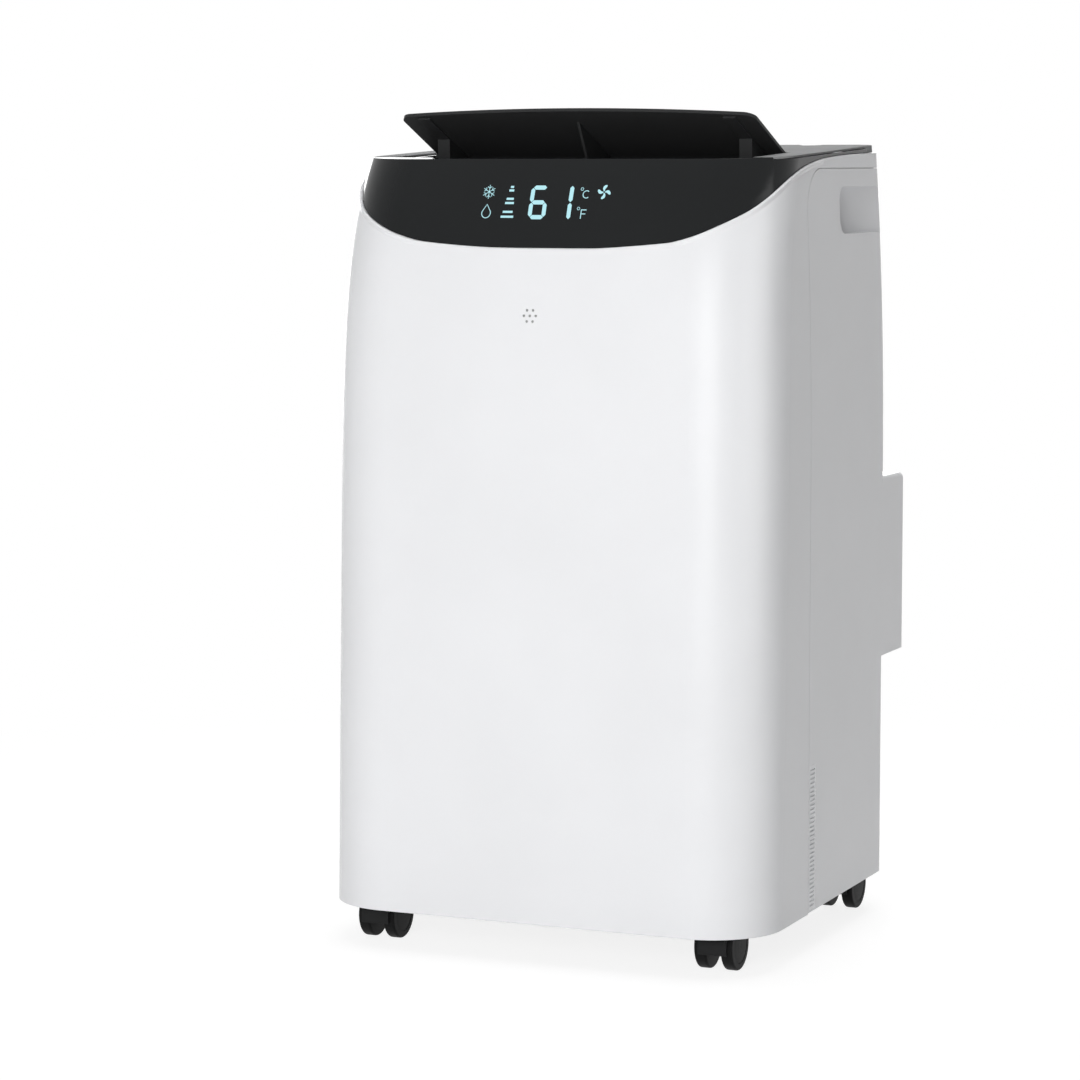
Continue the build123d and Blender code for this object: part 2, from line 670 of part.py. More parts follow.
# Lid: the thin light grey plate on top with a turned-down edge at the back
with BuildPart() as top_cover:
    add(body_form(LID_INSET))
    add(under_top(0), mode=Mode.INTERSECT)
    add(lid_zone(LID_HEIGHT, FIT_GAP), mode=Mode.INTERSECT)
    add(body_form(LID_INSET + LID_THICK) & under_top(LID_THICK), mode=Mode.SUBTRACT)
    with BuildSketch(TOP_PLANE.offset(-LID_THICK)):
        with Locations((0, Y_FRONT + FASCIA_END + SEAM_GAP - Y_LIP)):
            Rectangle(FAR, FAR, align=(Align.CENTER, Align.MAX))
    extrude(amount=-FORM_MARGIN, mode=Mode.SUBTRACT)
    notch_y = Y_BACK - NOTCH_FROM_REAR
    with Locations((HALF_WIDTH - NOTCH_FROM_SIDE, notch_y, top_height(notch_y) + NOTCH_RADIUS - NOTCH_SINK)):
        Sphere(NOTCH_RADIUS, mode=Mode.SUBTRACT)
top_cover.part.label = "top_cover"
export_step(top_cover.part, "parts/top_cover.step")

# Flap: a plate with a rolled tail round the hinge axis, gussets below and an end boss each side
HINGE_POINT = FLAP_PLANE.origin - FLAP_PLANE.z_dir * HINGE_DROP
HINGE_AXIS = Axis(HINGE_POINT, (-1, 0, 0))
FLAP_SIDE = Plane(origin=HINGE_POINT, x_dir=FLAP_PLANE.y_dir, z_dir=(1, 0, 0))
FLAP_UNDER = HINGE_DROP - FLAP_THICK
DOWN_ALONG = sin(radians(FLAP_OPEN))
DOWN_ACROSS = cos(radians(FLAP_OPEN))

with BuildPart() as flap_closed:
    with BuildSketch(FLAP_SIDE):
        Circle(HINGE_DROP)
        Circle(FLAP_UNDER, mode=Mode.SUBTRACT)
        Rectangle(HINGE_DROP, HINGE_DROP, align=(Align.MIN, Align.MIN), mode=Mode.INTERSECT)
        with Locations((0, HINGE_DROP)):
            Rectangle(FLAP_LENGTH, FLAP_THICK, align=(Align.MAX, Align.MAX))
    extrude(amount=FLAP_WIDTH / 2, both=True)
    with BuildSketch(FLAP_PLANE.offset(FORM_MARGIN)) as flap_plan:
        half = FLAP_WIDTH / 2
        with BuildLine():
            ThreePointArc((-half, FLAP_BOW - FLAP_LENGTH), (0, -FLAP_LENGTH), (half, FLAP_BOW - FLAP_LENGTH))
            Polyline(
                (half, FLAP_BOW - FLAP_LENGTH),
                (half, HINGE_DROP + FLAP_GAP),
                (-half, HINGE_DROP + FLAP_GAP),
                (-half, FLAP_BOW - FLAP_LENGTH),
            )
        make_face()
        fillet(flap_plan.vertices().group_by(Axis.Y)[0], FLAP_CORNER)
    extrude(amount=-2 * FORM_MARGIN, mode=Mode.INTERSECT)
    for arm_middle in (-ARM_SPACING / 2, ARM_SPACING / 2):
        with BuildSketch(FLAP_SIDE.offset(arm_middle - ARM_WIDTH / 2)):
            with BuildLine():
                Polyline(
                    (-ARM_REACH, FLAP_UNDER),
                    (-ARM_REACH + ARM_DEPTH * DOWN_ALONG, FLAP_UNDER - ARM_DEPTH * DOWN_ACROSS),
                    (-HINGE_DROP / 2, -HINGE_DROP / 2),
                    (0, FLAP_UNDER),
                    close=True,
                )
            make_face()
            with Locations((0, FLAP_UNDER)):
                Rectangle(STRIP_REACH, STRIP_DEPTH, align=(Align.MAX, Align.MAX))
        extrude(amount=ARM_WIDTH)
    with BuildSketch(FLAP_SIDE.offset(-RIB_WIDTH / 2)):
        with BuildLine():
            Polyline(
                (-RIB_REACH, FLAP_UNDER),
                (-RIB_DEPTH, FLAP_UNDER - RIB_DEPTH * DOWN_ACROSS * DOWN_ACROSS),
                (-HINGE_DROP / 2, -HINGE_DROP / 2),
                (0, FLAP_UNDER),
                close=True,
            )
        make_face()
    extrude(amount=RIB_WIDTH)
    for cheek_start in (-FLAP_WIDTH / 2, FLAP_WIDTH / 2 - CHEEK_WIDTH):
        with BuildSketch(FLAP_SIDE.offset(cheek_start)):
            Circle(HINGE_DROP)
        extrude(amount=CHEEK_WIDTH)
    with BuildSketch(FLAP_SIDE.offset(-FLAP_WIDTH / 2)):
        Circle(PIN_RADIUS + PRESS_GAP)
    extrude(amount=CHEEK_WIDTH, mode=Mode.SUBTRACT)
    with BuildSketch(FLAP_SIDE.offset(FLAP_WIDTH / 2 - CHEEK_WIDTH)):
        Circle(PIN_RADIUS + PRESS_GAP)
    extrude(amount=CHEEK_WIDTH, mode=Mode.SUBTRACT)

with BuildPart() as outlet_flap:
    add(flap_closed.part.rotate(HINGE_AXIS, FLAP_OPEN))
outlet_flap.part.label = "outlet_flap"
export_step(outlet_flap.part, "parts/outlet_flap.step")

# Flap pin on one side and drive shaft on the other
PIN_LENGTH = CHEEK_WIDTH + FLAP_SIDE_GAP + DUCT_WALL

with BuildPart() as flap_pin:
    with BuildSketch(FLAP_SIDE.offset(CHEEK_WIDTH - FLAP_WIDTH / 2)):
        Circle(PIN_RADIUS)
    extrude(amount=-PIN_LENGTH)
flap_pin.part.label = "flap_pin"
export_step(flap_pin.part, "parts/flap_pin.step")

with BuildPart() as flap_shaft:
    with BuildSketch(FLAP_SIDE.offset(FLAP_WIDTH / 2 - CHEEK_WIDTH)):
        Circle(PIN_RADIUS)
    extrude(amount=PIN_LENGTH + SHAFT_REACH)
flap_shaft.part.label = "flap_shaft"
export_step(flap_shaft.part, "parts/flap_shaft.step")

# Flap motor: a small can motor with its shaft set off from the middle
MOTOR_SIDE = FLAP_SIDE.offset(OUTLET_WIDTH / 2 + DUCT_WALL)
with BuildPart() as flap_motor:
    with BuildSketch(MOTOR_SIDE):
        with Locations((0, -MOTOR_OFFSET)):
            Circle(MOTOR_RADIUS)
    extrude(amount=MOTOR_LENGTH)
    with BuildSketch(MOTOR_SIDE):
        with Locations((0, -MOTOR_OFFSET)):
            SlotCenterToCenter(2 * (MOTOR_RADIUS + MOTOR_EAR), 2 * MOTOR_EAR)
    extrude(amount=MOTOR_PLATE)
    with BuildSketch(MOTOR_SIDE):
        Circle(PIN_RADIUS + RUN_GAP)
    extrude(amount=SHAFT_REACH + SHAFT_ROOM, mode=Mode.SUBTRACT)
flap_motor.part.label = "flap_motor"
export_step(flap_motor.part, "parts/flap_motor.step")

# Outlet duct: an open-topped box below the outlet that also carries the vanes
DUCT_FRONT = Y_HINGE - OUTLET_FRONT
DUCT_REAR = Y_HINGE + OUTLET_REAR
THROAT_REAR = DUCT_FRONT + THROAT_DEPTH
VANE_PLACES = [((k - (VANE_COUNT - 1) / 2) * VANE_PITCH, VANE_HEIGHT) for k in range(VANE_COUNT)]

DUCT_OUTLINE = [
    (DUCT_FRONT, DUCT_LOW),
    (THROAT_REAR, DUCT_LOW),
    (THROAT_REAR, RAMP_LOW),
    (DUCT_REAR, RAMP_HIGH),
    (DUCT_REAR, LIP_HEIGHT + FORM_MARGIN),
    (DUCT_FRONT, LIP_HEIGHT + FORM_MARGIN),
]

with BuildPart() as outlet_duct:
    with BuildSketch(Plane.YZ):
        with BuildLine():
            Polyline(*DUCT_OUTLINE, close=True)
        make_face()
        offset(amount=DUCT_WALL, kind=Kind.INTERSECTION)
    extrude(amount=OUTLET_WIDTH / 2 + DUCT_WALL, both=True)
    chamfer(outlet_duct.edges().filter_by(Axis.Z).group_by(Axis.Y)[0], DUCT_WALL)
    with BuildSketch(Plane.YZ):
        with BuildLine():
            Polyline(*DUCT_OUTLINE, close=True)
        make_face()
    extrude(amount=OUTLET_WIDTH / 2, both=True, mode=Mode.SUBTRACT)
    add(under_top(WALL + FIT_GAP), mode=Mode.INTERSECT)
    with BuildSketch(Plane.XY.offset(DUCT_LOW)):
        with Locations(((UPPER_OUTLET_LEFT + UPPER_OUTLET_RIGHT) / 2, (DUCT_FRONT + THROAT_REAR) / 2)):
            Rectangle(UPPER_OUTLET_RIGHT - UPPER_OUTLET_LEFT, THROAT_DEPTH)
    extrude(amount=-DUCT_WALL, mode=Mode.SUBTRACT)
    with BuildSketch(Plane.XZ.offset(-DUCT_FRONT + DUCT_WALL)):
        with Locations(VANE_PLACES):
            Circle(VANE_PIN + RUN_GAP)
    extrude(amount=-THROAT_DEPTH - 2 * DUCT_WALL, mode=Mode.SUBTRACT)
    with BuildSketch(FLAP_SIDE.offset(-OUTLET_WIDTH / 2 - DUCT_WALL)):
        Circle(PIN_RADIUS + RUN_GAP)
    extrude(amount=OUTLET_WIDTH + 2 * DUCT_WALL, mode=Mode.SUBTRACT)
outlet_duct.part.label = "outlet_duct"
export_step(outlet_duct.part, "parts/outlet_duct.step")

# Vanes: six upright blades that swing left and right, and the bar that ties them together
TIE_TOP = VANE_HEIGHT - TIE_REACH + TIE_RISE
TIE_LENGTH = (VANE_COUNT - 1) * VANE_PITCH + 2 * TIE_END

for number, (vane_x, vane_z) in enumerate(VANE_PLACES, start=1):
    with BuildPart() as vane:
        with BuildSketch(Plane.YZ.offset(vane_x - VANE_THICK / 2)):
            with Locations(((DUCT_FRONT + THROAT_REAR) / 2, vane_z)):
                Rectangle(THROAT_DEPTH - 2 * VANE_END_GAP, VANE_CHORD)
        extrude(amount=VANE_THICK)
        with BuildSketch(Plane((vane_x, THROAT_REAR + DUCT_WALL, vane_z), z_dir=(0, -1, 0))):
            Circle(VANE_PIN)
        extrude(amount=THROAT_DEPTH + 2 * DUCT_WALL)
    vane.part.label = f"vane_{number}"
    export_step(vane.part, f"parts/vane_{number}.step")

with BuildPart() as vane_tie_bar:
    with BuildSketch(Plane.XZ.offset(-(DUCT_FRONT + THROAT_REAR) / 2 - TIE_WIDTH / 2)):
        with Locations((0, TIE_TOP)):
            Rectangle(TIE_LENGTH, TIE_HEIGHT, align=(Align.CENTER, Align.MAX))
        with Locations([(x, TIE_TOP) for x, z in VANE_PLACES]):
            Rectangle(TIE_SLOT_WIDTH, TIE_SLOT_DEPTH, align=(Align.CENTER, Align.MAX), mode=Mode.SUBTRACT)
    extrude(amount=TIE_WIDTH)
vane_tie_bar.part.label = "vane_tie_bar"
export_step(vane_tie_bar.part, "parts/vane_tie_bar.step")

# Display: a board on stand-offs in front of the duct, with a lit module facing the fascia
BOARD_BACK = DUCT_FRONT - DUCT_WALL - STAND_OFF

with BuildPart() as display_board:
    with BuildSketch(Plane.XZ.offset(-BOARD_BACK)):
        with Locations((0, BOARD_MIDDLE)):
            Rectangle(BOARD_WIDTH, BOARD_HEIGHT)
    extrude(amount=BOARD_THICK)
    with BuildSketch(Plane.XZ.offset(-BOARD_BACK)):
        with Locations((0, BOARD_MIDDLE)):
            with GridLocations(BOARD_WIDTH - 2 * STAND_INSET, BOARD_HEIGHT - 2 * STAND_INSET, 2, 2):
                Circle(STAND_RADIUS)
    extrude(amount=-STAND_OFF)
display_board.part.label = "display_board"
export_step(display_board.part, "parts/display_board.step")

with BuildPart() as display_module:
    with BuildSketch(Plane.XZ.offset(-BOARD_BACK + BOARD_THICK)):
        with Locations((0, BOARD_MIDDLE)):
            RectangleRounded(MODULE_WIDTH, MODULE_HEIGHT, MODULE_ROUND)
    extrude(amount=MODULE_DEPTH)
display_module.part.label = "display_module"
export_step(display_module.part, "parts/display_module.step")

# Base pan: a tray inside the skirt with a socket for each caster
PAN_TOP = PAN_LOW + PAN_FLOOR
FRONT_STEM_Y = Y_FRONT + FRONT_AXLE_SET_BACK - TRAIL
REAR_STEM_Y = Y_FRONT + REAR_AXLE_SET_BACK - TRAIL
CASTERS = {
    "front_left": (-FRONT_CASTER_X, FRONT_STEM_Y),
    "front_right": (FRONT_CASTER_X, FRONT_STEM_Y),
    "rear_left": (-REAR_CASTER_X, REAR_STEM_Y),
    "rear_right": (REAR_CASTER_X, REAR_STEM_Y),
}
DRAIN_PLANE = Plane((DRAIN_X, Y_BACK - WALL - FIT_GAP - PAN_WALL, DRAIN_HEIGHT), z_dir=(0, 1, 0))
DRAIN_LENGTH = PAN_WALL + FIT_GAP + WALL + DRAIN_REACH

PAN_PLAN = body_plan(PAN_TOP + PAN_RIM, WALL + FIT_GAP)
PAN_SPACE = body_plan(PAN_TOP + PAN_RIM, WALL + FIT_GAP + PAN_WALL)

with BuildPart() as base_pan:
    extrude(PAN_PLAN, amount=-PAN_FLOOR - PAN_RIM)
    extrude(PAN_SPACE, amount=-PAN_RIM, mode=Mode.SUBTRACT)
    with BuildSketch(Plane.XY.offset(PAN_LOW)):
        with Locations(list(CASTERS.values())):
            Circle(STEM_RADIUS + SOCKET_WALL)
    extrude(amount=SOCKET_DEPTH + SOCKET_WALL)
    with BuildSketch(Plane.XY.offset(PAN_LOW)):
        with Locations(list(CASTERS.values())):
            Circle(STEM_RADIUS + RUN_GAP)
    extrude(amount=SOCKET_DEPTH, mode=Mode.SUBTRACT)
    with BuildSketch(DRAIN_PLANE):
        Circle(DRAIN_BORE + DRAIN_WALL)
    extrude(amount=DRAIN_LENGTH)
    with BuildSketch(DRAIN_PLANE):
        Circle(DRAIN_BORE)
    extrude(amount=DRAIN_LENGTH, mode=Mode.SUBTRACT)
base_pan.part.label = "base_pan"
export_step(base_pan.part, "parts/base_pan.step")

# Drain plug: a rubber stopper pushed into the spigot
with BuildPart() as drain_plug:
    with BuildSketch(DRAIN_PLANE.offset(DRAIN_LENGTH + FIT_GAP)):
        Circle(DRAIN_BORE + DRAIN_WALL + PLUG_EDGE)
    extrude(amount=PLUG_GRIP)
    fillet(drain_plug.edges().group_by(Axis.Y)[-1], PLUG_GRIP / 3)
    with BuildSketch(DRAIN_PLANE.offset(DRAIN_LENGTH + FIT_GAP)):
        Circle(DRAIN_BORE - RUN_GAP)
    extrude(amount=-PLUG_DEPTH)
drain_plug.part.label = "drain_plug"
export_step(drain_plug.part, "parts/drain_plug.step")

# Casters: a hooded body with a stem, an axle and two wheels at each corner
HOOD_INNER = WHEEL_RADIUS + WHEEL_GAP
HOOD_OUTER = HOOD_INNER + HOOD_WALL
CASTER_HALF = WEB_WIDTH / 2 + WHEEL_GAP + WHEEL_WIDTH
HOOD_CUT = [
    (-2 * HOOD_OUTER, -HOOD_FRONT_DROP),
    (0, -HOOD_FRONT_DROP),
    (HOOD_OUTER / 2, HOOD_REAR_LIFT),
    (2 * HOOD_OUTER, HOOD_REAR_LIFT),
    (2 * HOOD_OUTER, -2 * HOOD_OUTER),
    (-2 * HOOD_OUTER, -2 * HOOD_OUTER),
]


def axle_plane(stem, across):
    """Side view through a caster's axle, moved across the caster."""
    x, y = stem
    return Plane((x + across, y + TRAIL, WHEEL_RADIUS), x_dir=(0, 1, 0), z_dir=(1, 0, 0))


for corner_name, stem in CASTERS.items():
    with BuildPart() as caster_body:
        with BuildSketch(axle_plane(stem, 0)):
            Circle(HOOD_OUTER)
            Circle(HOOD_INNER, mode=Mode.SUBTRACT)
            with BuildLine():
                Polyline(*HOOD_CUT, close=True)
            make_face(mode=Mode.SUBTRACT)
        extrude(amount=CASTER_HALF - HOOD_EDGE, both=True)
        with BuildSketch(axle_plane(stem, 0)):
            Circle(HOOD_OUTER)
            with BuildLine():
                Polyline(*HOOD_CUT, close=True)
            make_face(mode=Mode.SUBTRACT)
            Circle(BOSS_RADIUS)
        extrude(amount=WEB_WIDTH / 2, both=True)
        with BuildSketch(Plane.XY.offset(WHEEL_RADIUS + HOOD_INNER / 2)):
            with Locations(stem):
                Circle(SEAT_RADIUS)
        extrude(amount=PAN_LOW - SEAT_GAP - WHEEL_RADIUS - HOOD_INNER / 2)
        with BuildSketch(Plane.XY.offset(PAN_LOW - SEAT_GAP)):
            with Locations(stem):
                Circle(STEM_RADIUS)
        extrude(amount=SOCKET_DEPTH + SEAT_GAP - FIT_GAP)
        for start in (-CASTER_HALF - WHEEL_GAP, WEB_WIDTH / 2):
            with BuildSketch(axle_plane(stem, start)):
                Circle(HOOD_INNER)
            extrude(amount=WHEEL_WIDTH + 2 * WHEEL_GAP, mode=Mode.SUBTRACT)
        with BuildSketch(axle_plane(stem, -WEB_WIDTH / 2)):
            Circle(AXLE_RADIUS + PRESS_GAP)
        extrude(amount=WEB_WIDTH, mode=Mode.SUBTRACT)
    caster_body.part.label = f"caster_{corner_name}"
    export_step(caster_body.part, f"parts/caster_{corner_name}.step")

    with BuildPart() as caster_axle:
        with BuildSketch(axle_plane(stem, 0)):
            Circle(AXLE_RADIUS)
        extrude(amount=CASTER_HALF - WHEEL_DISH, both=True)
    caster_axle.part.label = f"axle_{corner_name}"
    export_step(caster_axle.part, f"parts/axle_{corner_name}.step")

    for wheel_side, outward in (("left", -1), ("right", 1)):
        with BuildPart() as wheel:
            with BuildSketch(axle_plane(stem, outward * (WEB_WIDTH / 2 + WHEEL_GAP))):
                Circle(WHEEL_RADIUS)
            extrude(amount=outward * WHEEL_WIDTH)
            fillet(wheel.edges().filter_by(GeomType.CIRCLE), WHEEL_ROUND)
            with BuildSketch(axle_plane(stem, outward * CASTER_HALF)):
                Circle(WHEEL_RADIUS - 3 * WHEEL_ROUND)
                Circle(BOSS_RADIUS, mode=Mode.SUBTRACT)
            extrude(amount=-outward * WHEEL_DISH, mode=Mode.SUBTRACT)
            with BuildSketch(axle_plane(stem, 0)):
                Circle(AXLE_RADIUS + RUN_GAP)
            extrude(amount=outward * CASTER_HALF, mode=Mode.SUBTRACT)
        wheel.part.label = f"wheel_{corner_name}_{wheel_side}"
        export_step(wheel.part, f"parts/wheel_{corner_name}_{wheel_side}.step")

# Exhaust collar: the round socket that takes the hose
with BuildPart() as exhaust_collar:
    collar_plane = Plane((DUCT_BOX_MIDDLE, Y_BACK + DUCT_BOX_DEPTH, PORT_HEIGHT), z_dir=(0, -1, 0))
    with BuildSketch(collar_plane):
        Circle(HOSE_BORE + COLLAR_WALL)
    extrude(amount=COLLAR_LENGTH)
    with BuildSketch(collar_plane.offset(WALL + FIT_GAP)):
        Circle(HOSE_BORE + COLLAR_WALL + COLLAR_FLANGE)
    extrude(amount=COLLAR_WALL)
    with BuildSketch(collar_plane):
        Circle(HOSE_BORE)
    extrude(amount=COLLAR_LENGTH, mode=Mode.SUBTRACT)
exhaust_collar.part.label = "exhaust_collar"
export_step(exhaust_collar.part, "parts/exhaust_collar.step")

# Cord gland: the bush in the back that the lead would pass through
with BuildPart() as cord_gland:
    gland_plane = Plane((GLAND_X, Y_BACK + FIT_GAP, GLAND_HEIGHT), z_dir=(0, 1, 0))
    with BuildSketch(gland_plane):
        Circle(GLAND_RADIUS + GLAND_FLANGE)
    extrude(amount=GLAND_FLANGE)
    fillet(cord_gland.edges().group_by(Axis.Y)[-1], GLAND_FLANGE / 2)
    with BuildSketch(gland_plane):
        Circle(GLAND_RADIUS)
    extrude(amount=-WALL - GLAND_FLANGE)
    with BuildSketch(gland_plane.offset(GLAND_FLANGE)):
        Circle(GLAND_BORE)
    extrude(amount=-WALL - 2 * GLAND_FLANGE, mode=Mode.SUBTRACT)
cord_gland.part.label = "cord_gland"
export_step(cord_gland.part, "parts/cord_gland.step")

# Housing screws in the back
with BuildPart() as housing_screws:
    for x, z in SCREW_PLACES:
        with BuildSketch(Plane((x, Y_BACK - rear_taper(z) + FIT_GAP, z), z_dir=(0, 1, 0))):
            Circle(SCREW_HEAD)
        extrude(amount=SCREW_HEAD_HEIGHT)
        with BuildSketch(Plane((x, Y_BACK - rear_taper(z) + FIT_GAP, z), z_dir=(0, 1, 0))):
            Circle(SCREW_RADIUS)
        extrude(amount=-SCREW_LENGTH)
housing_screws.part.label = "housing_screws"
export_step(housing_screws.part, "parts/housing_screws.step")

# Intake grilles: framed panels of level bars in the two windows, and the filter behind the upper one
GRILLE_FRONT = Y_BACK - REAR_TAPER - GRILLE_SET_IN - GRILLE_THICK


def louvre_panel(width, low, high):
    """A grille panel that drops into a window of the back."""
    inner_width = width - 2 * GRILLE_GAP - 2 * GRILLE_BORDER
    inner_height = high - low - 2 * GRILLE_GAP - 2 * GRILLE_BORDER
    rows = int((inner_height + BAR_HEIGHT) // BAR_PITCH)
    gap_height = (inner_height + BAR_HEIGHT) / rows - BAR_HEIGHT
    gap_width = (inner_width + MULLION) / GRILLE_COLUMNS - MULLION
    with BuildPart() as panel:
        with BuildSketch(Plane((0, GRILLE_FRONT, (low + high) / 2), x_dir=(1, 0, 0), z_dir=(0, 1, 0))):
            Rectangle(width - 2 * GRILLE_GAP, high - low - 2 * GRILLE_GAP)
            with GridLocations(gap_width + MULLION, gap_height + BAR_HEIGHT, GRILLE_COLUMNS, rows):
                Rectangle(gap_width, gap_height, mode=Mode.SUBTRACT)
        extrude(amount=GRILLE_THICK)
    return panel.part


with BuildPart() as upper_grille:
    add(louvre_panel(UPPER_WINDOW_WIDTH, UPPER_WINDOW_LOW, UPPER_WINDOW_HIGH))
upper_grille.part.label = "upper_grille"
export_step(upper_grille.part, "parts/upper_grille.step")

with BuildPart() as lower_grille:
    add(louvre_panel(LOWER_WINDOW_WIDTH, LOWER_WINDOW_LOW, LOWER_WINDOW_HIGH))
lower_grille.part.label = "lower_grille"
export_step(lower_grille.part, "parts/lower_grille.step")

with BuildPart() as upper_filter:
    filter_width = UPPER_WINDOW_WIDTH - 4 * GRILLE_GAP
    filter_height = UPPER_WINDOW_HIGH - UPPER_WINDOW_LOW - 4 * GRILLE_GAP
    cell_width = (filter_width - 2 * FILTER_BORDER + FILTER_RIB) / FILTER_COLUMNS
    cell_height = (filter_height - 2 * FILTER_BORDER + FILTER_RIB) / FILTER_ROWS
    filter_middle = (UPPER_WINDOW_LOW + UPPER_WINDOW_HIGH) / 2
    filter_plane = Plane((0, GRILLE_FRONT, filter_middle), x_dir=(1, 0, 0), z_dir=(0, -1, 0))
    with BuildSketch(filter_plane):
        Rectangle(filter_width, filter_height)
        with GridLocations(cell_width, cell_height, FILTER_COLUMNS, FILTER_ROWS):
            Rectangle(cell_width - FILTER_RIB, cell_height - FILTER_RIB, mode=Mode.SUBTRACT)
    extrude(amount=FILTER_THICK)
    with BuildSketch(filter_plane.offset(FILTER_THICK - FILTER_SCREEN)):
        Rectangle(filter_width, filter_height)
    extrude(amount=FILTER_SCREEN)
upper_filter.part.label = "upper_filter"
export_step(upper_filter.part, "parts/upper_filter.step")

# Deck: the plate that parts the upper room from the lower one, on four posts
POST_PLACES = [(x, Y_FRONT + set_back) for x in (-POST_X, POST_X) for set_back in POST_SET_BACKS]
EVAPORATOR_Y = WINDOW_END - EVAPORATOR_GAP - EVAPORATOR_DEPTH / 2

with BuildPart() as mid_deck:
    extrude(body_plan(DECK_HEIGHT + DECK_THICK, WALL + FIT_GAP), amount=-DECK_THICK)
    with BuildSketch(Plane.XY.offset(PAN_TOP)):
        with Locations(POST_PLACES):
            Rectangle(POST_SIZE, POST_SIZE)
    extrude(amount=DECK_HEIGHT - PAN_TOP)
    with BuildSketch(Plane.XY.offset(DECK_HEIGHT)):
        with Locations((SUCTION_X, EVAPORATOR_Y)):
            Circle(PIPE_HOLE)
    extrude(amount=DECK_THICK, mode=Mode.SUBTRACT)
mid_deck.part.label = "mid_deck"
export_step(mid_deck.part, "parts/mid_deck.step")

# Coils: finned blocks with return bends at one end
CONDENSER_WIDTH = 2 * (REAR_CASTER_X - STEM_RADIUS - SOCKET_WALL - SOCKET_GAP - BEND_RADIUS - BEND_TUBE)
CONDENSER_Y = WINDOW_END - CONDENSER_GAP - CONDENSER_DEPTH / 2


def finned_coil(width, depth, height, y, low):
    """A coil that stands on a height, with fins cut in from the front and the back."""
    fins = int(width // FIN_PITCH)
    cut_depth = depth * (1 - FIN_CORE) / 2
    with BuildPart() as coil:
        with BuildSketch(Plane.XY.offset(low)):
            with Locations((0, y)):
                Rectangle(width, depth)
            with Locations((0, y - depth / 2 + cut_depth / 2), (0, y + depth / 2 - cut_depth / 2)):
                with GridLocations(FIN_PITCH, depth, fins, 1):
                    Rectangle(FIN_PITCH - FIN_THICK, cut_depth, mode=Mode.SUBTRACT)
        extrude(amount=height)
        for k in range(BEND_COUNT):
            middle = Plane((width / 2, y, low + height * (k + 0.5) / BEND_COUNT), z_dir=(1, 0, 0))
            with BuildSketch(middle):
                with Locations((0, BEND_RADIUS)):
                    Circle(BEND_TUBE)
            revolve(axis=Axis(middle.origin, middle.x_dir), revolution_arc=180)
    return coil.part


with BuildPart() as evaporator_coil:
    low = DECK_HEIGHT + DECK_THICK
    add(finned_coil(EVAPORATOR_WIDTH, EVAPORATOR_DEPTH, EVAPORATOR_HEIGHT, EVAPORATOR_Y, low))
evaporator_coil.part.label = "evaporator_coil"
export_step(evaporator_coil.part, "parts/evaporator_coil.step")

with BuildPart() as condenser_coil:
    add(finned_coil(CONDENSER_WIDTH, CONDENSER_DEPTH, CONDENSER_HEIGHT, CONDENSER_Y, PAN_TOP))
condenser_coil.part.label = "condenser_coil"
export_step(condenser_coil.part, "parts/condenser_coil.step")

# Compressor: a steel can on a three-cornered foot, with an accumulator beside it
COMPRESSOR_Y = Y_FRONT + COMPRESSOR_SET_BACK
FOOT_TOP = PAN_TOP + FOOT_HEIGHT
CAN_LOW = FOOT_TOP + FOOT_PLATE
ACCUMULATOR_Y = COMPRESSOR_Y - COMPRESSOR_RADIUS - ACCUMULATOR_GAP - ACCUMULATOR_RADIUS
BRACKET_LENGTH = ACCUMULATOR_RADIUS + ACCUMULATOR_GAP
ACCUMULATOR_LOW = CAN_LOW + (COMPRESSOR_HEIGHT - ACCUMULATOR_HEIGHT) / 2

with BuildPart() as compressor:
    with BuildSketch(Plane.XY.offset(CAN_LOW)):
        with Locations((COMPRESSOR_X, COMPRESSOR_Y)):
            Circle(COMPRESSOR_RADIUS)
    extrude(amount=COMPRESSOR_HEIGHT)
    fillet(compressor.edges().group_by(Axis.Z)[-1], COMPRESSOR_ROUND)
    with BuildSketch(Plane.XY.offset(CAN_LOW + COMPRESSOR_SHELL)):
        with Locations((COMPRESSOR_X, COMPRESSOR_Y)):
            Circle(COMPRESSOR_RADIUS - COMPRESSOR_SHELL)
    extrude(amount=COMPRESSOR_HEIGHT - COMPRESSOR_SHELL - COMPRESSOR_ROUND, mode=Mode.SUBTRACT)
    with BuildSketch(Plane.XY.offset(FOOT_TOP)) as foot_plan:
        with Locations((COMPRESSOR_X, COMPRESSOR_Y)):
            RegularPolygon(FOOT_CORNER, 3)
        fillet(foot_plan.vertices(), FOOT_RADIUS)
        with Locations((COMPRESSOR_X, COMPRESSOR_Y)):
            with PolarLocations(FOOT_SPREAD, 3):
                Circle(FOOT_BORE, mode=Mode.SUBTRACT)
    extrude(amount=FOOT_PLATE)
compressor.part.label = "compressor"
export_step(compressor.part, "parts/compressor.step")

with BuildPart() as compressor_feet:
    with BuildSketch(Plane.XY.offset(PAN_TOP)):
        with Locations((COMPRESSOR_X, COMPRESSOR_Y)):
            with PolarLocations(FOOT_SPREAD, 3):
                Circle(FOOT_RADIUS)
    extrude(amount=FOOT_HEIGHT)
    with BuildSketch(Plane.XY.offset(FOOT_TOP)):
        with Locations((COMPRESSOR_X, COMPRESSOR_Y)):
            with PolarLocations(FOOT_SPREAD, 3):
                Circle(FOOT_BORE - PRESS_GAP)
    extrude(amount=FOOT_PLATE + FOOT_BORE)
compressor_feet.part.label = "compressor_feet"
export_step(compressor_feet.part, "parts/compressor_feet.step")

